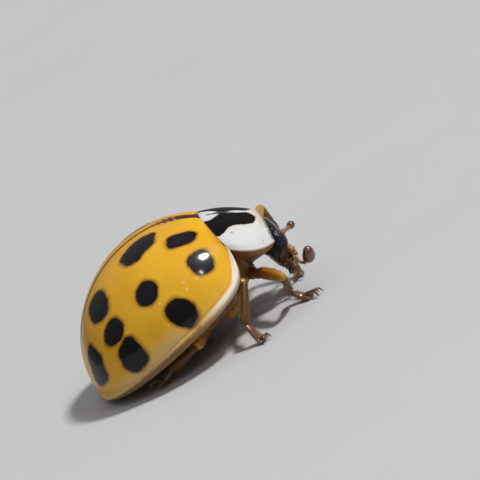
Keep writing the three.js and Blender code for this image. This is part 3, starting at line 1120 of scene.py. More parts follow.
@dataclass(frozen=True)
class HeadFinish(Finish):
    """Pitted black that turns brown below the cheeks and amber at the mouth."""

    black: Colour = colour(0.004, 0.004, 0.004)
    worn: Colour = colour(0.016, 0.013, 0.012)
    brown: Colour = colour(0.075, 0.026, 0.008)
    amber: Colour = colour(0.36, 0.15, 0.025)

    def paint(self, skin: Skin) -> Value:
        """Lays on the colours of the head.

        Args:
            skin: The material under work.

        Returns:
            The height of its surface.
        """
        skin.tones(self.worn, self.black, 1.0)
        level = skin.nodes.split(skin.chart())[1] + skin.nodes.stray(skin.place, 3000.0) * 0.12
        skin.lay(level.fall(0.14, 0.38) * 0.9, self.brown)
        skin.lay(level.fall(0.06, 0.16) * 0.8, self.amber)
        return skin.relief(0.55, 0.6)


@dataclass(frozen=True)
class EyeFinish(Finish):
    """Black compound eye with rounded facets and a painted bluish sheen."""

    black: Colour = colour(0.006, 0.007, 0.010)
    # Painted bluish sheen, standing in for glints of light on the facets.
    sheen: Colour = colour(0.010, 0.022, 0.042)

    def paint(self, skin: Skin) -> Value:
        """Lays on the colours of an eye.

        Args:
            skin: The material under work.

        Returns:
            The height of its facets.
        """
        facets = skin.nodes.cells(skin.place, 24000.0)
        # The painted sheen stays on the middles of the facets, black between them.
        skin.tones(self.black, self.sheen, 0.8)
        skin.lay(facets.rise(0.3, 0.6), self.black)
        return 1.0 - facets * facets


# ---- Hairs --------------------------------------------------------------------------------


@dataclass
class Bristles:
    """Fine hairs as one mesh, each a slim three-sided spike."""

    name: str
    seed: int
    length: float = 0.09
    radius: float = 0.006
    rise: float = 0.75  # how much a hair stands up from the face
    spread: float = 0.25  # how far it strays from the rest
    lengths: Flat = (0.7, 1.2)  # shortest and longest, as shares of the length
    sunk: float = 0.01  # how deep its root lies
    roots: list[tuple[Vector, Vector, float]] = field(default_factory=list)

    def grow(
        self, obj: Piece, count: int, lean: Vector, size: float = 1.0,
        keep: Callable[[Vector, Vector], bool] = lambda place, normal: True,
    ) -> None:
        """Sets hairs on a piece's faces.

        Args:
            obj: The piece, in millimetres.
            count: How many hairs.
            lean: The direction in which they lie.
            size: Share of the usual length.
            keep: Tells from a place and its normal whether hairs grow there.
        """
        chance = random.Random(self.seed + len(self.roots))
        faces = [f for f in obj.data.polygons if keep(f.center, f.normal)]
        faces.sort(key=lambda face: steady(face.center))
        picked = chance.choices(faces, weights=[f.area for f in faces], k=count)
        for face in picked:
            corners = sorted((obj.data.vertices[i].co for i in face.vertices), key=steady)
            shares = [chance.random() + 0.05 for _ in corners]
            total = sum(shares)
            root = sum((c * (w / total) for c, w in zip(corners, shares)), Vector())
            stray = Vector([chance.uniform(-self.spread, self.spread) for _ in range(3)])
            direction = (face.normal * self.rise + lean + stray).normalized()
            self.roots.append((root, direction, size * chance.uniform(*self.lengths)))

    def build(self) -> Piece:
        """Copies one spike to every root.

        Returns:
            The hairs as one object with a map of their own.
        """
        spike = make(
            "spike", bpy.ops.mesh.primitive_cone_add, vertices=3, radius1=self.radius,
            radius2=self.radius * 0.25, depth=self.length, end_fill_type="NOTHING",
            location=(0.0, 0.0, self.length / 2),
        )
        bpy.ops.object.transform_apply(location=True)
        shape = [vertex.co.copy() for vertex in spike.data.vertices]
        faces = [tuple(polygon.vertices) for polygon in spike.data.polygons]
        bpy.data.objects.remove(spike)
        points: list[Vector] = []
        polygons: list[tuple[int, ...]] = []
        for root, direction, size in self.roots:
            turn = direction.to_track_quat("Z", "Y")
            start = len(points)
            points += [root - direction * self.sunk + turn @ (corner * size) for corner in shape]
            polygons += [tuple(start + corner for corner in face) for face in faces]
        mesh = bpy.data.meshes.new(self.name)
        mesh.from_pydata([tuple(point) for point in points], [], polygons)
        self.chart(mesh, len(faces))
        obj = bpy.data.objects.new(self.name, mesh)
        bpy.context.scene.collection.objects.link(obj)
        return obj

    def chart(self, mesh: bpy.types.Mesh, per_spike: int) -> None:
        """Gives each hair its own cell of the map.

        Args:
            mesh: The hairs' mesh.
            per_spike: Faces of one hair.
        """
        layer = mesh.uv_layers.new(name=HAIR_MAP).data
        cells = max(1, math.ceil(math.sqrt(len(self.roots))))
        for polygon in mesh.polygons:
            spike, face = divmod(polygon.index, per_spike)
            column, row = spike % cells, spike // cells
            for corner, loop in enumerate(polygon.loop_indices):
                across = (face + (0.85 if corner in (1, 2) else 0.1)) / per_spike
                up = 0.9 if corner >= 2 else 0.1
                layer[loop].uv = ((column + across) / cells, (row + up) / cells)


# ---- Fitting out --------------------------------------------------------------------------


@dataclass
class Workshop:
    """What every sub-assembly needs: the stance and the finished materials."""

    dome: Dome
    stance: Stance
    materials: dict[str, Material]
    slots: dict[str, str]

    def finish(self, obj: Piece, finish: str, replaces: Sequence[str] = (), angle: float = 50.0) -> None:
        """Brings a piece to metres, dresses it and hands it to the frame.

        Args:
            obj: The piece, in millimetres.
            finish: The name of its finish.
            replaces: The nodes it stands for.
            angle: Edges sharper than this stay sharp, in degrees.
        """
        obj.data.transform(Matrix.Scale(MM, 4))
        obj.data.materials.clear()
        obj.data.materials.append(self.materials[finish])
        take(obj)
        bpy.ops.object.shade_smooth_by_angle(angle=math.radians(angle))
        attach(obj, "root")
        if replaces:
            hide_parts(*replaces)
        LOG.info("%s: %d faces", obj.name, len(obj.data.polygons))


@dataclass
class WingCases:
    """The two wing cases with their rolled rims, and the small plate between their bases."""

    shop: Workshop
    columns: int = 150
    rows: int = 136
    wall: float = 0.07
    seam: float = 0.024
    crown_share: float = 0.84  # share of the rows that lie on the dome
    roll: float = 0.05  # radius of the rim's fold
    fold: float = 0.55  # width of the flange below, at its widest
    bead: float = 0.2  # height of the rounded rim
    bulge: float = 0.038  # how far the rim stands out
    groove: float = 0.022  # depth of the furrow above the rim
    groove_rise: float = 0.045  # how far over the rim the furrow runs
    groove_width: float = 0.04
    fade: float = 0.7  # height of the dome below which the rim grows fainter
    dip: float = 0.02  # how far the seam is sunk
    dip_span: float = 1.6  # degrees round the dome that the dip takes
    fold_share: float = 0.3  # share of the rows below the margin that lie in the fold
    fold_fade: float = 0.8  # half width below which the flange narrows with the case
    fold_drop: float = 0.12
    widest: float = 0.36  # share of the length from which the flange turns in towards the tip
    tip_draw: float = 1.2
    tip_crowding: float = 1.35
    rim_crowding: float = 1.5
    plate: Point = (0.3, 0.44, 0.16)
    plate_edge: float = 0.03

    def share(self, along: float) -> float:
        """Share of the case's length for a share of the grid's, closer together at the tip."""
        return 1.0 - (1.0 - along) ** self.tip_crowding

    def angle(self, across: float) -> float:
        """Angle round the dome for a share of the grid's width, closer together at the rim."""
        return math.radians(90.0) * (1.0 - (1.0 - across / self.crown_share) ** self.rim_crowding)

    def outwards(self, s: float) -> Vector:
        """Level direction away from the left margin.

        Args:
            s: Share of the length.

        Returns:
            The direction in the body frame.
        """
        quarter = math.radians(90.0)
        dome = self.shop.dome
        step = 0.004
        run = dome.point(min(s + step, 1.0), quarter) - dome.point(max(s - step, 0.0), quarter)
        return Vector((run.y, -run.x, 0.0)).normalized()

    def relief(self, height: float) -> float:
        """How far the face stands out of the dome at a height over the margin.

        Args:
            height: Height over the margin, in millimetres.

        Returns:
            The distance in millimetres.
        """
        half = self.bead / 2
        round_off = math.sqrt(max(0.0, 1.0 - ((height - half) / half) ** 2))
        furrow = math.exp(-(((height - self.bead - self.groove_rise) / self.groove_width) ** 2))
        return self.bulge * round_off - self.groove * furrow

    def place(self, side: Side, along: float, across: float) -> Vector:
        """A point of one case in the part's frame.

        Args:
            side: Which case.
            along: Share of the grid's length.
            across: Share of the grid's width, from the seam out and under.

        Returns:
            The point in millimetres.
        """
        s = self.share(along)
        dome = self.shop.dome
        if across <= self.crown_share:
            angle = self.angle(across)
            point = dome.point(s, angle)
            _, top, margin = dome.section(s)
            strength = min(1.0, max(top - margin, 0.0) / self.fade)
            point += self.outwards(s) * self.relief(point.z - margin) * strength
            point.z -= self.dip * (1.0 - ease(math.degrees(angle), 0.0, self.dip_span))
        else:
            under = (across - self.crown_share) / (1.0 - self.crown_share)
            point = self.flange(s, under)
        out = self.seam / 2 + point.x * (1.0 - self.seam / 2 / dome.half_width)
        return self.shop.stance.body((side.value * out, point.y, point.z))

    def flange(self, s: float, under: float) -> Vector:
        """A point of the rolled rim and the flange below it, in the body frame.

        Args:
            s: Share of the length.
            under: Share of the way round the rim and inwards.

        Returns:
            The point in millimetres.
        """
        dome = self.shop.dome
        edge = dome.point(s, math.radians(90.0))
        rolled = min(under / self.fold_share, 1.0) * math.pi
        width = self.fold * (1.0 - s) ** 0.5 * min(1.0, edge.x / self.fold_fade)
        past = max(0.0, (under - self.fold_share) / (1.0 - self.fold_share))
        turn_in = self.roll * (1.0 - math.cos(rolled)) / 2 * 0.6 + past * width
        drop = -self.roll * math.sin(rolled / 2) + self.fold_drop * past**2
        share = min(1.0, edge.x / 0.4)
        middle = self.widest * dome.length
        pull = (edge.y - middle) / (dome.length - middle)
        toward = -turn_in * max(0.0, pull) ** 3 * self.tip_draw
        return Vector((max(edge.x - turn_in * share, 0.0), edge.y + toward, edge.z + drop))

    def chart(self, along: float, across: float) -> Flat:
        """The case's surface map: share of the length, and distance round the dome.

        Args:
            along: Share of the grid's length.
            across: Share of the grid's width.

        Returns:
            The place on the map.
        """
        s, edge = self.share(along), 90.0 * DEGREE_SPAN
        if across <= self.crown_share:
            return s, math.degrees(self.angle(across)) * DEGREE_SPAN
        return s, edge + 0.12 * (across - self.crown_share) / (1.0 - self.crown_share)

    def build_case(self, side: Side) -> None:
        """One wing case, dressed.

        Args:
            side: Which case.
        """
        out = self.shop.stance.direction((side.value * 0.5, 0.0, 1.0))
        case = sheet(
            f"wing_case_{side.word}", self.columns, self.rows,
            lambda along, across: self.place(side, along, across), out, self.chart,
        )
        thicken(case, self.wall)
        self.shop.finish(case, "wing case", [f"elytron_{side.word}"], angle=60.0)

    def build_plate(self) -> None:
        """The scutellum, a domed triangle in the slope of the wing cases."""
        half, length, depth = self.plate
        dome, stance = self.shop.dome, self.shop.stance
        obj = make("shield_plate", bpy.ops.mesh.primitive_cylinder_add, vertices=3, radius=1.0, depth=1.0)
        sizes = (half / math.sqrt(0.75), length / 1.5, depth)

        def work() -> None:
            """Sizes the block and rounds its edges."""
            bpy.ops.transform.resize(value=sizes, center_override=(0.0, 0.0, 0.0))
            bpy.ops.mesh.bevel(offset=self.plate_edge, segments=3, affect="EDGES")

        in_edit_mode(obj, work)
        smooth_out(obj, 1)
        base = dome.point(0.0, 0.0)
        behind = dome.point(length / dome.length, 0.0)
        slope = Matrix.Rotation(math.atan2(behind.z - base.z, behind.y - base.y), 4, "X")
        top = max(vertex.co.z for vertex in obj.data.vertices)
        low = min(vertex.co.y for vertex in obj.data.vertices)
        for vertex in obj.data.vertices:
            local = Vector((vertex.co.x, vertex.co.y - low, vertex.co.z - top + self.plate_edge))
            vertex.co = stance.body(slope @ local + base)
        self.shop.finish(face_out(obj), "black skin", ["scutellum"])

    def build(self) -> None:
        """Builds and dresses all of it."""
        for side in Side:
            self.build_case(side)
        self.build_plate()


@dataclass
class Forebody:
    """The pronotum over the neck and the first thorax segment below it."""

    shop: Workshop
    run: float = 1.3
    front_height: float = 0.45
    crown: float = 0.1
    edge_run: float = 1.03
    edge_widths: Point = (1.925, 0.776, -1.476)
    edge_heights: Point = (0.83, -1.35, 0.37)
    gap: float = 0.012
    wall: float = 0.07
    bead: float = 0.022
    side_rim: tuple[float, ...] = (82.0, 86.0, 88.0, 90.0)  # where it rises and falls, in degrees
    front_rim: tuple[float, ...] = (0.94, 0.97, 0.985, 1.0)  # and at the front, as shares of the length
    tuck: float = 0.05  # how far the free edges are drawn in
    throat_height: float = -0.38
    throat_climb: float = -0.12
    throat_run: float = 0.97
    throat_keel_run: float = 0.62
    throat_power: float = 1.4
    throat_wall: float = 0.1
    keel: float = 0.05  # height of the ridge between the front legs
    keel_width: float = 0.07
    grid: tuple[int, int] = (70, 120)
    throat_grid: tuple[int, int] = (40, 80)

    def point(self, p: float, angle: float, inset: float = 0.0) -> Vector:
        """A point of the pronotum in the body frame.

        Args:
            p: Share of the way from the hind to the front margin.
            angle: 0 on the middle line, a quarter turn on the left edge.
            inset: How far below its face the point lies.

        Returns:
            The point in millimetres.
        """
        back = self.shop.dome.point(0.0, 0.0)
        fall = Vector((-self.run, self.front_height - back.z)).normalized()
        lift = self.crown * 4 * p * (1 - p) - inset
        middle_y = -self.run * p + fall.y * lift
        middle_z = mix(back.z, self.front_height, p) - fall.x * lift
        start, slope, bend = self.edge_widths
        edge = start + slope * p + bend * p * p - inset * 0.6
        start, slope, bend = self.edge_heights
        edge_z = start + slope * p + bend * p * p
        turn = 1 - math.cos(angle)
        y, z = mix(middle_y, -self.edge_run * p, turn) - self.gap, mix(middle_z, edge_z, turn)
        return Vector((edge * math.sin(angle), y, z))

    def place(self, along: float, across: float) -> Vector:
        """A point of the pronotum with its raised rim, in the part's frame.

        Args:
            along: Share of the way from the hind to the front margin.
            across: Share of the width, from the right side to the left.

        Returns:
            The point in millimetres.
        """
        angle = math.radians(180.0) * (across - 0.5)
        side = abs(math.degrees(angle))
        rim = 0.0
        for where, (start, full, end, edge) in ((side, self.side_rim), (along, self.front_rim)):
            rim += self.bead * ease(where, start, full) * (1 - ease(where, end, edge))
        rim -= self.tuck * ease(side, 86.0, 90.0)
        rim -= self.tuck * ease(along, 0.975, 1.0) + 0.02 * (1.0 - ease(along, 0.0, 0.025))
        return self.shop.stance.body(self.point(along, angle, -rim))

    def build_pronotum(self) -> None:
        """The pronotum, dressed."""
        out = self.shop.stance.direction((0.0, -0.5, 1.0))
        obj = sheet(
            "pronotum_shield", *self.grid, self.place, out, lambda along, across: (along, 2 * across - 1)
        )
        thicken(obj, self.wall)
        self.shop.finish(obj, "pronotum", ["pronotum"], angle=60.0)

    def throat(self, along: float, across: float) -> Vector:
        """A point of the prothorax below the pronotum, in the part's frame.

        Args:
            along: Share of the way forwards.
            across: Share of the width, from the right side to the left.

        Returns:
            The point in millimetres.
        """
        share = 2 * across - 1
        drop = super_arc(share, self.throat_power)
        p = along * mix(self.throat_run, self.throat_keel_run, ease(drop, 0.0, 0.9))
        edge = self.point(p, math.radians(90.0), 0.1)
        lowest = Vector((0.0, -p - self.gap, self.throat_height + self.throat_climb * (p + self.gap)))
        point = edge.lerp(lowest, drop)
        point.x = edge.x * share
        point.z -= self.keel * math.exp(-((share / self.keel_width) ** 2)) * (1 - along)
        return self.shop.stance.body(point)

    def build_throat(self) -> None:
        """The underside of the first segment: side pieces and breastplate."""
        down = self.shop.stance.direction((0.0, 0.0, -1.0))
        obj = thicken(sheet("throat", *self.throat_grid, self.throat, down), self.throat_wall)
        self.shop.finish(obj, "throat", ["prothorax"])

    def build(self) -> None:
        """Builds and dresses all of it."""
        self.build_pronotum()
        self.build_throat()


@dataclass
class Underside:
    """The chest and the belly with its overlapping rings."""

    shop: Workshop
    front: float = -0.62
    chest: float = -0.9
    waist: float = -0.58
    tip: float = -0.08
    joint: float = 2.75
    end: float = 5.3
    rings: int = 5
    inset: float = 0.35  # how far inside the wing cases' edge it ends
    edge_rise: float = 0.05
    overlap: float = 0.05
    power: float = 1.5  # how boxy the breast is
    belly_power: float = 1.8
    wall: float = 0.06
    grid: tuple[int, int] = (16, 64)

    def depth(self, y: float) -> float:
        """Lowest point of the underside at a distance behind the wing cases' base.

        Args:
            y: The distance in millimetres.

        Returns:
            The height in the body frame.
        """
        low = mix(self.front, self.chest, ease(y, 0.0, 1.0))
        low += (self.waist - self.chest) * ease(y, 2.0, 3.3)
        return low + (self.tip - self.waist) * ease(y, 3.3, self.end)

    def place(self, y: float, across: float, power: float, lift: float = 0.0) -> Vector:
        """A point of the underside in the part's frame.

        Args:
            y: Distance behind the wing cases' base.
            across: Share of the width, from the right side to the left.
            power: How boxy the section is.
            lift: How far above the surface the point lies.

        Returns:
            The point in millimetres.
        """
        dome = self.shop.dome
        edge = dome.point(max(y, 0.02) / dome.length, math.radians(90.0), self.inset)
        share = 2 * across - 1
        drop = super_arc(share, power)
        low = self.depth(y) + lift
        return self.shop.stance.body((edge.x * share, y, mix(edge.z + self.edge_rise, low, drop)))

    def build_plate(self, name: str, start: float, stop: float, power: float, lap: float) -> Piece:
        """One plate of the underside as a thin curved sheet.

        Args:
            name: The piece's name.
            start: Where it begins, behind the wing cases' base.
            stop: Where it ends.
            power: How boxy its section is.
            lap: How far its hind edge stands below the next plate.

        Returns:
            The new object, in millimetres.
        """

        def place(along: float, across: float) -> Vector:
            """A point of the plate, its hind edge a little proud.

            Args:
                along: Share of the plate's length.
                across: Share of its width.

            Returns:
                The point in millimetres.
            """
            y = mix(start, stop, along)
            lift = mix(lap, 0.0, ease(along, 0.0, 0.8)) + 0.6 * lap * ease(along, 0.93, 1.0)
            return self.place(y, across, power, lift)

        down = self.shop.stance.direction((0.0, 0.0, -1.0))
        return thicken(sheet(name, *self.grid, place, down), self.wall)

    def build(self) -> None:
        """Builds and dresses all of it."""
        front = self.build_plate("breast front", -0.05, 1.18, self.power, 0.05)
        rear = self.build_plate("breast rear", 1.12, self.joint, self.power, 0.04)
        self.shop.finish(join("breast_plates", [front, rear]), "belly", ["thorax"])
        length = (self.end - self.joint) / self.rings
        plates = []
        for index in range(self.rings):
            start = self.joint - self.overlap + index * length
            stop = self.joint + (index + 1) * length
            plates.append(self.build_plate(f"belly ring {index}", start, stop, self.belly_power, 0.05))
        self.shop.finish(join("belly_rings", plates), "belly", ["abdomen"])


@dataclass
class Head:
    """Head capsule, eyes and mouth parts, on axes across, out of and up the face."""

    shop: Workshop
    at: Point = (0.0, -0.84, -0.3)
    half: Point = (0.95, 0.54, 0.82)
    lean: float = math.radians(13)
    taper: float = 0.34
    flatness: float = 0.12
    nape: float = 0.5
    clypeus: float = 0.035  # how far the plate over the mouth stands out
    socket: float = 0.06  # depth of the pits in which the feelers stand
    socket_at: Flat = (0.62, -0.42)
    socket_half: Flat = (0.12, 0.14)
    groove: float = 0.012  # depth of the line down the crown
    eye_at: Point = (0.8, -1.09, -0.31)
    eye_half: Point = (0.25, 0.27, 0.36)
    face_hairs: int = 240
    lip_hairs: int = 90
    jaw_hairs: int = 60
    palp_hairs: int = 110

    def on(self, across: float, out: float, up: float) -> Vector:
        """A point on the head's own axes, in the part's frame."""
        turn = Matrix.Rotation(self.lean, 3, "X")
        return self.shop.stance.body(turn @ Vector((across, -out, up)) + Vector(self.at))

    def build_capsule(self) -> Piece:
        """The black capsule: an egg that narrows to the mouth, with brow and cheeks.

        Returns:
            The capsule, in millimetres.
        """
        ball = bpy.ops.mesh.primitive_uv_sphere_add
        obj = make("head_capsule", ball, segments=72, ring_count=48, radius=1.0)
        fill_map(obj.data, [(v.co.x / 2 + 0.5, v.co.z / 2 + 0.5) for v in obj.data.vertices])
        for vertex in obj.data.vertices:
            x, y, z = vertex.co
            taper = 1 - self.taper * ease(-z, 0.0, 1.0)
            behind = 1 - self.nape * ease(-z, -0.3, 0.5)
            flat = 1 - self.flatness * (1 - abs(x)) if y < 0 else behind
            front = max(0.0, -y)
            clypeus = self.clypeus * front * ease(-z, 0.45, 0.62) * (1 - ease(abs(x), 0.35, 0.55))
            aside = (abs(x) - self.socket_at[0]) / self.socket_half[0]
            above = (z - self.socket_at[1]) / self.socket_half[1]
            socket = self.socket * math.exp(-(aside**2) - above**2)
            groove = self.groove * math.exp(-((x / 0.05) ** 2)) * ease(z, 0.0, 0.4)
            out = -y * self.half[1] * flat + front * (clypeus / max(front, 0.3) - socket) - groove * front
            vertex.co = self.on(x * self.half[0] * taper, out, z * self.half[2])
        return face_out(obj)

    def build_eye(self, side: Side) -> None:
        """One compound eye, a kidney-shaped bulge.

        Args:
            side: Which eye.
        """
        name, ball = f"compound_eye_{side.word}", bpy.ops.mesh.primitive_uv_sphere_add
        obj = make(name, ball, segments=48, ring_count=32, radius=1.0)
        turn = Matrix.Rotation(self.lean, 3, "X")
        centre = Vector((side.value * self.eye_at[0], self.eye_at[1], self.eye_at[2]))
        for vertex in obj.data.vertices:
            x, y, z = vertex.co
            notch = 1.0 - 0.12 * math.exp(-(((z + 0.2) / 0.3) ** 2)) * ease(-x * side.value, 0.2, 1.0)
            local = Vector((x * self.eye_half[0] * notch, y * self.eye_half[1] * notch, z * self.eye_half[2]))
            vertex.co = self.shop.stance.body(turn @ local + centre)
        self.shop.finish(face_out(obj), "eye", [f"eye_{side.word}"])

    def part(
        self, name: str, knots: Profile, rings: Profile, sign: int = 1, sides: int = 12,
        across: Point = (1.0, 0.0, 0.0),
    ) -> Piece:
        """A rounded part of the mouth, its knots on the head's own axes."""
        points = [self.on(sign * x, out, up) for x, out, up in knots]
        return limb(name, points, rings, self.shop.stance.direction(across), sides)

    def build_lip(self) -> Piece:
        """Clypeus and upper lip, two rounded plates over the jaws.

        Returns:
            Both plates as one object.
        """
        knots = [(0, 0.40, -0.5), (0, 0.39, -0.68)]
        rings = [(-0.05, 0.4, 0.03), (0.1, 0.44, 0.09), (0.6, 0.45, 0.1), (0.95, 0.42, 0.08), (1, 0.38, 0.03)]
        clypeus = self.part("clypeus", knots, rings, sides=20)
        knots = [(0, 0.37, -0.66), (0, 0.35, -0.8), (0, 0.29, -0.92)]
        rings = [(0, 0.34, 0.03), (0.15, 0.37, 0.08), (0.6, 0.36, 0.08), (0.9, 0.26, 0.06), (1, 0.17, 0.02)]
        return join("upper_lip_plates", [clypeus, self.part("lip", knots, rings, sides=20)])

    def build_jaws(self) -> Piece:
        """Hooked jaws, lower lip and its two small palps.

        Returns:
            All of them as one object.
        """
        knots = [(0, 0.0, -0.62), (0, 0.05, -0.88)]
        rings = [(0, 0.34, 0.16), (0.5, 0.32, 0.17), (0.9, 0.22, 0.12), (1, 0.14, 0.06)]
        pieces = [self.part("lower lip", knots, rings)]
        jaw = [(0.34, 0.14, -0.68), (0.33, 0.2, -0.88), (0.18, 0.24, -1.0), (0.04, 0.24, -1.03)]
        hook = [(0, 0.10, 0.12), (0.3, 0.10, 0.11), (0.7, 0.06, 0.07), (0.95, 0.02, 0.03), (1, 0.008, 0.01)]
        for sign in (side.value for side in Side):
            pieces.append(self.part("jaw", jaw, hook, sign, 10))
            for start, stop, radius in ((-0.86, -0.95, 0.045), (-0.95, -1.05, 0.05), (-1.05, -1.15, 0.04)):
                out = 0.04 - 0.35 * (start + 0.86)
                knots = [(0.17, out, start), (0.19, out + 0.03, stop)]
                rings = [(at, radius * wide, radius * wide) for at, wide in ((0, 0.6), (0.3, 1.0), (1, 0.6))]
                pieces.append(self.part("small palp", knots, rings, sign, 8))
        return join("jaws_and_lower_lip", pieces)

    def build_palp(self, side: Side) -> Piece:
        """One large palp of four joints, the last shaped like a hatchet.

        Args:
            side: Which palp.

        Returns:
            The palp as one object.
        """
        sign = side.value
        knots = [
            (0.46, -0.02, -0.52), (0.55, 0, -0.62), (0.63, 0.04, -0.76), (0.62, 0.09, -0.86),
            (0.55, 0.2, -1.03),
        ]
        joints = [
            [(0, 0.05, 0.05), (0.5, 0.07, 0.07), (1, 0.05, 0.05)],
            [(0, 0.045, 0.045), (0.4, 0.075, 0.07), (0.85, 0.09, 0.08), (1, 0.06, 0.055)],
            [(0, 0.05, 0.05), (0.5, 0.085, 0.07), (1, 0.06, 0.055)],
            [(0, 0.06, 0.05), (0.2, 0.11, 0.075), (0.75, 0.20, 0.085), (0.95, 0.205, 0.07), (1, 0.18, 0.03)],
        ]
        across = (0.3 * sign, -1.0, 0.0)
        pieces = [
            self.part("palp joint", knots[index : index + 2], rings, sign, across=across)
            for index, rings in enumerate(joints)
        ]
        return join(f"large_palp_{side.word}", pieces)

    def build(self) -> None:
        """Builds and dresses all of it, with its hairs."""
        down = self.shop.stance.direction((0.0, -0.3, -1.0)) * 0.6
        hairs = Bristles("face_hairs", seed=11, length=0.09, radius=0.005)
        capsule = self.build_capsule()
        lip = self.build_lip()
        jaws = self.build_jaws()
        palps = {side: self.build_palp(side) for side in Side}
        face = self.on(0.0, 1.0, 0.0) - self.on(0.0, 0.0, 0.0)
        hairs.grow(capsule, self.face_hairs, down, 0.7, lambda place, normal: normal.dot(face) > 0.25)
        hairs.grow(lip, self.lip_hairs, down, 0.8)
        hairs.grow(jaws, self.jaw_hairs, down, 0.6)
        for palp in palps.values():
            hairs.grow(palp, self.palp_hairs, down, 0.7)
        self.shop.finish(capsule, "head", ["head"])
        self.shop.finish(lip, "lip", ["upper_lip"])
        self.shop.finish(jaws, "mouth", ["jaws"])
        for side in Side:
            self.shop.finish(palps[side], "mouth", [f"palp_{side.word}"])
            self.build_eye(side)
        self.shop.finish(hairs.build(), "hairs")


@dataclass
class Antenna:
    """One feeler: eleven joints, the last three a club."""

    shop: Workshop
    side: Side
    route: Sequence[Point]
    club: float = 0.195
    joints: Sequence[Flat] = (  # length and half width of each, the club as one
        (0.20, 0.105), (0.09, 0.085), (0.11, 0.062), (0.08, 0.058), (0.07, 0.055), (0.06, 0.055),
        (0.06, 0.058), (0.06, 0.07), (0.37, 0.0),
    )
    bulb: Sequence[Flat] = ((0.0, 0.48), (0.12, 0.6), (0.62, 1.0), (0.9, 0.93), (1.0, 0.62))
    hairs: int = 150
    club_hairs: int = 120

    def club_radius(self, share: float) -> float:
        """Half width of the club at a share of its length, an egg with two faint creases.

        Args:
            share: Share of the club's length.

        Returns:
            The half width in millimetres.
        """
        share = min(max(share, 0.015), 0.985)
        crease = sum(math.exp(-(((share - at) / 0.03) ** 2)) for at in (0.29, 0.62))
        return self.club * (1.0 - abs(2.0 * share**0.9 - 1.0) ** 2.2) ** 0.5 * (1.0 - 0.05 * crease)

    def build(self) -> None:
        """Builds and dresses it, with its hairs."""
        points = [self.shop.stance.body(point) for point in self.route]
        across = self.shop.stance.direction((0.2, 0.3, 1.0))
        line = Route(points, across)
        total = sum(length for length, _ in self.joints)
        pieces: list[Piece] = []
        run = 0.0
        for index, (length, radius) in enumerate(self.joints):
            start, stop = run / total, (run + length) / total
            run += length
            profile = [(at, radius * wide, radius * wide) for at, wide in self.bulb]
            if index == len(self.joints) - 1:
                shares = [step / 16 for step in range(17)]
                profile = [(at, self.club_radius(at), self.club_radius(at)) for at in shares]
            places = [line.at(start), line.at((start + stop) / 2), line.at(stop)]
            pieces.append(limb(f"feeler joint {index}", places, profile, across))
        feeler = join(f"feeler_{self.side.word}", pieces[:-1])
        club = join(f"feeler_club_{self.side.word}", pieces[-1:])
        seed = 31 + self.side.value
        hairs = Bristles(f"feeler_hairs_{self.side.word}", seed, length=0.08, radius=0.0045)
        hairs.grow(feeler, self.hairs, (line.at(1.0) - line.at(0.6)).normalized() * 0.6)
        hairs.grow(club, self.club_hairs, (line.at(1.0) - line.at(0.9)).normalized() * 0.6, 0.7)
        self.shop.finish(feeler, "feeler", [f"antenna_{self.side.word}"])
        self.shop.finish(club, "club")
        self.shop.finish(hairs.build(), "hairs")


class Pair(Enum):
    """The three pairs of legs, with the half distance, place along and height of their hips."""

    FRONT = (0.55, 0.12, -0.48)
    MIDDLE = (0.85, 1.35, -0.76)
    HIND = (0.85, 2.35, -0.64)


@dataclass(frozen=True)
class FootForm:
    """A rounded form of the foot, its knots as (outwards, share of the foot's reach, up)."""

    knots: Profile
    rings: Profile
    sides: int = 12
    levels: int = 2


FOOT_FORMS = (
    FootForm(  # lobe with its pad
        ((0.035, 0.36, 0.17), (0.075, 0.55, 0.11), (0.115, 0.78, 0.055)),
        ((0, 0.05, 0.05), (0.25, 0.085, 0.07), (0.75, 0.095, 0.052), (0.95, 0.07, 0.035), (1, 0.04, 0.018)),
    ),
    FootForm(  # claw
        ((0.03, 0.98, 0.2), (0.09, 1.06, 0.2), (0.13, 1.13, 0.12), (0.14, 1.15, 0.02)),
        ((0.0, 0.034, 0.04), (0.35, 0.03, 0.034), (0.75, 0.018, 0.02), (1.0, 0.004, 0.005)), 8,
    ),
    FootForm(  # the claw's tooth
        ((0.06, 1.0, 0.18), (0.085, 1.05, 0.08)),
        ((0.0, 0.03, 0.03), (0.5, 0.022, 0.022), (1.0, 0.005, 0.005)), 6, 1,
    ),
)
CLAW_JOINT = FootForm(
    ((0.0, 0.42, 0.14), (0.0, 0.72, 0.19), (0.0, 1.0, 0.2)),
    ((0.0, 0.03, 0.03), (0.2, 0.042, 0.042), (0.75, 0.055, 0.052), (0.95, 0.065, 0.058), (1.0, 0.04, 0.04)),
)


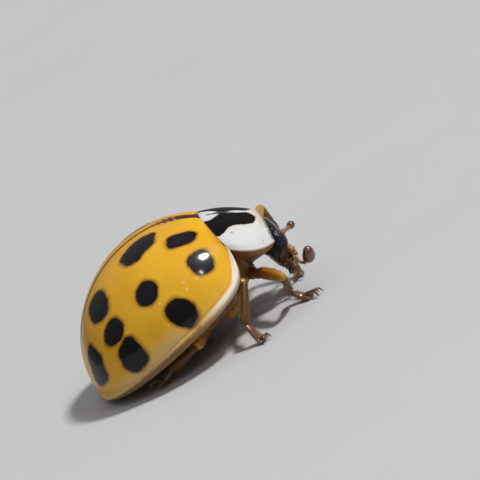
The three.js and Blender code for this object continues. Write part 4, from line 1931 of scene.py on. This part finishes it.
@dataclass
class Leg:
    """One leg: hip, thigh, shin, and a foot of lobed joints with two claws."""

    FINISHES: ClassVar[dict[str, str]] = {
        "coxa": "thigh", "femur": "thigh", "tibia": "shin", "tarsus": "foot",
    }
    shop: Workshop
    pair: Pair
    side: Side
    knee: Point
    ankle: Point
    toe: Flat
    hip_half: Point = (0.42, 0.24, 0.25)
    thigh: Profile = (
        (0.0, 0.09, 0.08), (0.06, 0.14, 0.11), (0.25, 0.22, 0.16), (0.55, 0.245, 0.175),
        (0.85, 0.205, 0.15), (0.97, 0.14, 0.11), (1.0, 0.08, 0.07),
    )
    shin: Profile = (
        (0.0, 0.06, 0.06), (0.05, 0.105, 0.095), (0.3, 0.12, 0.105), (0.7, 0.145, 0.115),
        (0.94, 0.155, 0.12), (1.0, 0.12, 0.09),
    )
    thigh_bow: float = 0.05
    shin_bow: float = 0.04
    spur: float = 0.17
    sole: float = 0.16  # height below which the foot has its pad
    thigh_hairs: int = 110
    shin_hairs: int = 140
    foot_hairs: int = 240
    pad_hairs: int = 200

    @property
    def tag(self) -> str:
        """The leg's place as the nodes are named."""
        return f"{self.pair.name.lower()}_{self.side.word}"

    def points(self) -> tuple[Vector, Vector, Vector]:
        """Hip, knee and ankle in the part's frame.

        Returns:
            The three points in millimetres.
        """
        apart, along, height = self.pair.value
        hip = self.shop.stance.body((self.side.value * apart, along, height))
        return hip, self.shop.stance.floor(self.knee), self.shop.stance.floor(self.ankle)

    def build_hip(self, hip: Vector, knee: Vector) -> Piece:
        """The short thick joint in the body.

        Args:
            hip: Middle of the joint.
            knee: The leg's knee.

        Returns:
            The hip.
        """
        across = self.shop.stance.direction((0.0, 1.0, 0.0))
        outward = (knee - hip).normalized()
        start = hip - self.shop.stance.direction((self.side.value * self.hip_half[0], 0.0, 0.0)) * 0.9
        places = [start, hip, hip + outward * self.hip_half[0] * 0.85]
        wide, deep = self.hip_half[1], self.hip_half[2] * 0.8
        bulb = ((0.0, 0.5), (0.15, 0.9), (0.5, 1.0), (0.85, 0.8), (1.0, 0.45))
        profile = [(at, wide * share, deep * share) for at, share in bulb]
        return limb(f"hip_{self.tag}", places, profile, across)

    def build_thigh(self, hip: Vector, knee: Vector) -> Piece:
        """Trochanter and femur, flattened and broadest past the middle.

        Args:
            hip: Middle of the hip.
            knee: The leg's knee.

        Returns:
            The thigh as one object.
        """
        outward = (knee - hip).normalized()
        start = hip + outward * self.hip_half[0] * 0.5
        bow = Vector((0.0, 0.0, self.thigh_bow))
        across = outward.cross(self.shop.stance.direction((0.0, 1.0, 0.0))).normalized()
        rings = [(0.0, 0.13, 0.12), (0.4, 0.19, 0.16), (0.9, 0.17, 0.14), (1.0, 0.10, 0.09)]
        collar = limb("collar", [start, start.lerp(knee, 0.2)], rings, across)
        places = [start.lerp(knee, 0.1), start.lerp(knee, 0.5) + bow, start.lerp(knee, 1.02)]
        blade = limb("blade", places, self.thigh, across, 14)
        return join(f"thigh_{self.tag}", [collar, blade])

    def build_shin(self, knee: Vector, ankle: Vector, hip: Vector) -> Piece:
        """The slender tibia with two short spurs at its end.

        Args:
            knee: Where it starts.
            ankle: Where it ends.
            hip: Middle of the hip.

        Returns:
            The shin as one object.
        """
        along = (ankle - knee).normalized()
        away = (knee - hip).cross(along).normalized()
        bow = away.cross(along).normalized() * self.shin_bow
        shaft = limb(f"shin_{self.tag}", [knee, knee.lerp(ankle, 0.5) - bow, ankle], self.shin, away)
        pieces = [shaft]
        rings = [(0.0, 0.025, 0.025), (0.6, 0.015, 0.015), (1.0, 0.004, 0.004)]
        for sign in (-1, 1):
            root = ankle - along * 0.06 + away * sign * 0.06
            tip = root + along * self.spur + away * sign * 0.05
            pieces.append(limb("spur", [root, tip], rings, away, 6, 1))
        return join(f"shin_{self.tag}", pieces)

    def foot_point(self, across: float, forward: float, up: float) -> Vector:
        """A point on the foot's own axes, from below the ankle towards the toe.

        Args:
            across: Distance to the right of the foot's line.
            forward: Distance from below the ankle.
            up: Height over the floor.

        Returns:
            The point in millimetres.
        """
        heading = Vector((self.toe[0] - self.ankle[0], self.toe[1] - self.ankle[1], 0.0)).normalized()
        right = Vector((heading.y, -heading.x, 0.0))
        base = self.shop.stance.floor((self.ankle[0], self.ankle[1], 0.0))
        return base + heading * forward + right * across + Vector((0.0, 0.0, up))

    def build_foot(self) -> Piece:
        """Foot: a wedge, a two-lobed padded joint, the claw joint and two toothed claws.

        Returns:
            The foot as one object.
        """
        reach = math.hypot(self.toe[0] - self.ankle[0], self.toe[1] - self.ankle[1])
        height = self.ankle[2]
        across = self.foot_point(1.0, 0.0, 0.0) - self.foot_point(0.0, 0.0, 0.0)
        at = self.foot_point
        places = [at(0, -0.02, height), at(0, reach * 0.22, height * 0.55 + 0.06), at(0, reach * 0.46, 0.12)]
        rings = [(0, 0.06, 0.06), (0.2, 0.09, 0.085), (0.75, 0.145, 0.1), (0.95, 0.15, 0.08), (1, 0.12, 0.04)]
        pieces = [limb(f"foot_{self.tag}", places, rings, across)]
        forms = [(sign, form) for sign in (-1, 1) for form in FOOT_FORMS] + [(0, CLAW_JOINT)]
        for sign, form in forms:
            places = [at(sign * x, reach * y, z) for x, y, z in form.knots]
            pieces.append(limb("foot form", places, form.rings, across, form.sides, form.levels))
        return join(f"foot_{self.tag}", pieces)

    def build(self) -> None:
        """Builds and dresses the leg, with its hairs."""
        hip, knee, ankle = self.points()
        pieces = {
            "coxa": self.build_hip(hip, knee),
            "femur": self.build_thigh(hip, knee),
            "tibia": self.build_shin(knee, ankle, hip),
            "tarsus": self.build_foot(),
        }
        hairs = Bristles(f"leg_hairs_{self.tag}", 101 + 7 * len(self.tag), length=0.1, radius=0.0055)
        hairs.grow(pieces["femur"], self.thigh_hairs, (knee - hip).normalized() * 0.9, 0.7)
        hairs.grow(pieces["tibia"], self.shin_hairs, (ankle - knee).normalized() * 0.8, 0.9)
        foot, forward = pieces["tarsus"], self.foot_point(0, 1, -0.6) - self.foot_point(0, 0, 0)
        hairs.grow(foot, self.foot_hairs, forward * 0.5, 0.8, lambda place, normal: normal.z > -0.1)
        pad = Bristles(f"foot_pad_{self.tag}", 401 + 5 * len(self.tag), length=0.07, radius=0.006)
        down = Vector((0.0, 0.0, -0.5))
        pad.grow(foot, self.pad_hairs, down, 1.0, lambda at, normal: normal.z < -0.45 and at.z < self.sole)
        pad.roots = [hair for hair in pad.roots if hair[0].z + hair[1].z * (pad.length * hair[2]) > 0.0]
        for joint, piece in pieces.items():
            self.shop.finish(piece, self.FINISHES[joint], [f"{joint}_{self.tag}"])
        self.shop.finish(hairs.build(), "hairs")
        self.shop.finish(pad.build(), "hairs")


# ---- Stage --------------------------------------------------------------------------------


@dataclass
class Studio:
    """Pale floor, soft light and the camera."""

    shop: Workshop
    distance: float = 111.0
    lens: float = 284.4
    right: Point = (0.6921, -0.1381, -0.7084)
    back: Point = (0.0636, -0.9660, 0.2504)
    aim_from: Point = (0.0, 2.204, 0.0)
    aim_shift: Flat = (1.509, 2.016)
    floor_size: float = 4.0
    key_glint: Flat = (0.108, 56.5)  # where it shows on the case: share of its length, degrees round it
    key_spread: float = 7.5
    key_power: float = 2.6
    box_glint: Flat = (0.168, 65.0)
    box_size: Flat = (6.0, 8.0)
    box_distance: float = 90.0
    box_power: float = 0.005

    def world_axis(self, axis: Point) -> Vector:
        """A camera axis given as (forward, left, up) of the body, in the part's frame."""
        forward, left, up = axis
        return self.shop.stance.direction((left, -forward, up)).normalized()

    @staticmethod
    def stand(name: str, data: bpy.types.ID, turn: Matrix, place: Vector) -> Piece:
        """Puts a camera or a lamp in the scene.

        Args:
            name: The object's name.
            data: The camera or lamp.
            turn: Which way it looks.
            place: Where it stands, in millimetres.

        Returns:
            The new object.
        """
        obj = bpy.data.objects.new(name, data)
        bpy.context.scene.collection.objects.link(obj)
        obj.matrix_world = Matrix.Translation(place * MM) @ turn.to_4x4()
        return obj

    def build_camera(self) -> None:
        """The camera on the beetle's right, rolled so that the head end points up."""
        back = self.world_axis(self.back)
        up = back.cross(self.world_axis(self.right)).normalized()
        right = up.cross(back).normalized()
        target = self.shop.stance.body(self.aim_from)
        target += right * self.aim_shift[0] + up * self.aim_shift[1]
        data = bpy.data.cameras.new("camera")
        data.lens = self.lens
        data.sensor_width = 36.0
        data.clip_start = 0.005
        data.clip_end = 10.0
        turn = Matrix((right, up, back)).transposed()
        bpy.context.scene.camera = self.stand("camera", data, turn, target + back * self.distance)

    def build_floor(self) -> None:
        """A wide pale floor that isn't part of the beetle."""
        grid = bpy.ops.mesh.primitive_grid_add
        floor = make("floor", grid, x_subdivisions=4, y_subdivisions=4, size=self.floor_size)
        material = bpy.data.materials.new("pale floor")
        material.use_nodes = True
        nodes = Nodes(material.node_tree)
        shader = material.node_tree.nodes["Principled BSDF"]
        shader.inputs["Roughness"].default_value = 0.75
        cloud = nodes.noise(nodes.coordinates("Object"), 140.0, 3.0)
        pale = nodes.blend(cloud, colour(0.55, 0.55, 0.54), colour(0.59, 0.59, 0.58))
        nodes.feed(shader.inputs["Base Color"], pale)
        floor.data.materials.append(material)

    def glint(self, s: float, degrees: float) -> Vector:
        """Where a light has to be to glint on the right wing case.

        Args:
            s: Share of the case's length.
            degrees: Angle round the dome.

        Returns:
            The direction from that place to the light.
        """
        stance, dome = self.shop.stance, self.shop.dome
        angle = -math.radians(degrees)
        here = stance.body(dome.point(s, angle))
        along = stance.body(dome.point(s + 0.005, angle)) - here
        round_it = stance.body(dome.point(s, angle - 0.01)) - here
        normal = round_it.cross(along).normalized()
        view = self.world_axis(self.back)
        return (2 * normal.dot(view) * normal - view).normalized()

    def build_lights(self) -> None:
        """A far round key light, even over the whole floor, and a small soft box."""
        toward = self.glint(*self.key_glint)
        key = bpy.data.lights.new("key", "SUN")
        key.angle = math.radians(self.key_spread)
        key.energy = self.key_power
        self.stand("key", key, toward.to_track_quat("Z", "Y").to_matrix(), Vector())
        toward = self.glint(*self.box_glint)
        middle = self.shop.stance.body((0.0, 2.0, 0.8))
        box = bpy.data.lights.new("second box", "AREA")
        box.shape = "RECTANGLE"
        box.size, box.size_y = self.box_size[0] * MM, self.box_size[1] * MM
        box.energy = self.box_power
        turn = toward.to_track_quat("Z", "Y").to_matrix()
        self.stand("second box", box, turn, middle + toward * self.box_distance)

    @staticmethod
    def build_world() -> None:
        """A tent of soft light, dim at the horizon and bright overhead, with a pale backdrop."""
        world = bpy.data.worlds.new("studio")
        bpy.context.scene.world = world
        world.use_nodes = True
        nodes = Nodes(world.node_tree)
        height = nodes.split(nodes.coordinates("Generated"))[2].rise(0.0, 0.8)
        tent = nodes.blend(height, colour(0.13, 0.132, 0.135), colour(0.37, 0.38, 0.40))
        seen = nodes.run("ShaderNodeLightPath", "Is Camera Ray", {})
        backdrop = nodes.blend(seen, tent, colour(0.50, 0.50, 0.50))
        nodes.feed(world.node_tree.nodes["Background"].inputs["Color"], backdrop)

    def build(self) -> None:
        """Builds the floor, the camera and the lights."""
        self.build_floor()
        self.build_camera()
        self.build_lights()
        self.build_world()
        bpy.context.scene.view_settings.view_transform = "Standard"


# ---- The whole beetle ---------------------------------------------------------------------


def build_finishes() -> tuple[dict[str, Material], dict[str, str]]:
    """Builds every material once.

    Returns:
        The materials by name, and the record's slot for each.
    """
    effects = SharedEffects.build()
    finishes = [
        WingCaseFinish(
            "wing case", "wing_case", roughness=0.4, shine=0.08, coat=0.5, coat_roughness=0.1, bump=0.12,
            depth=0.004,
        ),
        PronotumFinish(
            "pronotum", "pronotum", roughness=0.42, shine=0.08, coat=0.03, coat_roughness=0.12, bump=0.3,
            depth=0.006, dented=True,
        ),
        HeadFinish(
            "head", "black_cuticle", roughness=0.32, shine=0.04, coat=0.45, coat_roughness=0.07, bump=1.0,
            depth=0.03, dented=True,
        ),
        SkinFinish(
            "black skin", "black_cuticle", roughness=0.26, coat=0.3, light=colour(0.020, 0.014, 0.010),
            dark=colour(0.006, 0.004, 0.003), spacing=0.7, bump=0.5, depth=0.012,
        ),
        EyeFinish(
            "eye", "eye", roughness=0.2, shine=0.15, coat=0.4, coat_roughness=0.06, bump=1.0,
            depth=0.012, dented=True,
        ),
        SkinFinish(
            "mouth", "amber_limb", roughness=0.26, coat=0.4, light=colour(0.15, 0.052, 0.012),
            dark=colour(0.028, 0.009, 0.004), amount=0.95, bump=0.3,
        ),
        SkinFinish(
            "lip", "amber_limb", roughness=0.26, coat=0.7, light=colour(0.42, 0.19, 0.030),
            dark=colour(0.15, 0.055, 0.010), amount=0.8, bump=0.3,
        ),
        SkinFinish(
            "feeler", "amber_limb", roughness=0.26, coat=0.7, subsurface=0.2, light=colour(0.40, 0.19, 0.045),
            dark=colour(0.14, 0.055, 0.014), amount=0.6, bump=0.25,
        ),
        SkinFinish(
            "club", "amber_limb", roughness=0.2, shine=1.0, coat=1.0, coat_roughness=0.14,
            light=colour(0.11, 0.018, 0.006), dark=colour(0.016, 0.004, 0.003), amount=0.9, bump=0.05,
        ),
        SkinFinish(
            "thigh", "amber_limb", roughness=0.32, coat=0.3, subsurface=0.2, light=colour(0.52, 0.245, 0.030),
            dark=colour(0.24, 0.095, 0.013), amount=0.7, bump=0.3,
        ),
        # The shins' dark brown is partly their own colour and partly painted shade of the shadow under the
        # body.
        SkinFinish(
            "shin", "amber_limb", roughness=0.34, shine=0.2, coat=0.15, light=colour(0.12, 0.052, 0.008),
            dark=colour(0.032, 0.013, 0.003), amount=0.8, bump=0.3,
        ),
        SkinFinish(
            "foot", "amber_limb", roughness=0.22, shine=0.7, coat=0.8, light=colour(0.22, 0.098, 0.042),
            dark=colour(0.05, 0.018, 0.008), amount=0.9, bump=0.3,
        ),
        SkinFinish(
            "throat", "underside", roughness=0.45, shine=0.15, light=colour(0.36, 0.17, 0.045),
            dark=colour(0.11, 0.042, 0.012), amount=0.8, bump=0.4,
        ),
        SkinFinish(
            "belly", "underside", roughness=0.4, shine=0.2, coat=0.1, light=colour(0.30, 0.125, 0.028),
            dark=colour(0.016, 0.008, 0.005), amount=0.6, dusk=0.95, spacing=0.7, bump=0.5,
        ),
        SkinFinish(
            "hairs", "amber_limb", roughness=0.4, light=colour(0.24, 0.14, 0.055),
            dark=colour(0.11, 0.05, 0.018), amount=0.6, bump=0.0,
        ),
    ]
    return {f.name: f.build(effects) for f in finishes}, {f.name: f.slot for f in finishes}


def build_legs(shop: Workshop) -> list[Leg]:
    """The six legs in mid step.

    Args:
        shop: The stance and the materials.

    Returns:
        The legs, not built yet.
    """
    front, hind = (0.36, 0.22, 0.26), (0.5, 0.26, 0.22)
    return [
        Leg(shop, Pair.FRONT, Side.RIGHT, (-2.5, -0.72, 1.22), (-1.25, -0.65, 0.36), (-1.8, -1.32), front),
        Leg(shop, Pair.FRONT, Side.LEFT, (2.05, -1.26, 2.15), (1.32, -1.25, 0.72), (0.62, -1.15), front),
        Leg(shop, Pair.MIDDLE, Side.RIGHT, (-2.12, 0.32, 1.6), (-2.8, 0.92, 0.66), (-3.15, 0.6)),
        Leg(shop, Pair.MIDDLE, Side.LEFT, (2.55, 1.2, 0.98), (3.15, 1.75, 0.36), (3.65, 2.2)),
        Leg(shop, Pair.HIND, Side.RIGHT, (-2.5, 2.42, 0.76), (-1.95, 3.42, 0.36), (-1.5, 4.05), hind),
        Leg(shop, Pair.HIND, Side.LEFT, (2.5, 2.7, 0.74), (2.35, 3.75, 0.36), (2.75, 4.4), hind),
    ]


def build_antennae(shop: Workshop) -> list[Antenna]:
    """The two feelers, the right one curled up in front of the face.

    Args:
        shop: The stance and the materials.

    Returns:
        The feelers, not built yet.
    """
    right = [
        (-0.62, -1.12, -0.58), (-0.8, -1.19, -0.9), (-0.95, -1.08, -1.1), (-1.12, -1.18, -1.25),
        (-1.25, -1.4, -1.18), (-1.31, -1.58, -0.9),
    ]
    left = [(0.58, -1.16, -0.58), (0.8, -1.36, -0.66), (1.0, -1.52, -0.74), (1.2, -1.66, -0.77)]
    return [Antenna(shop, Side.RIGHT, right), Antenna(shop, Side.LEFT, left, club=0.12)]


def main() -> None:
    """Builds the beetle and its stage."""
    logging.basicConfig(level=logging.INFO, format="%(message)s")
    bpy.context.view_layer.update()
    dome = Dome()
    materials, slots = build_finishes()
    shop = Workshop(dome, Stance.from_frame(dome), materials, slots)
    WingCases(shop).build()
    Forebody(shop).build()
    Underside(shop).build()
    Head(shop).build()
    for antenna in build_antennae(shop):
        antenna.build()
    for leg in build_legs(shop):
        leg.build()
    Studio(shop).build()
    start_alone()


if __name__ == "__main__":
    main()
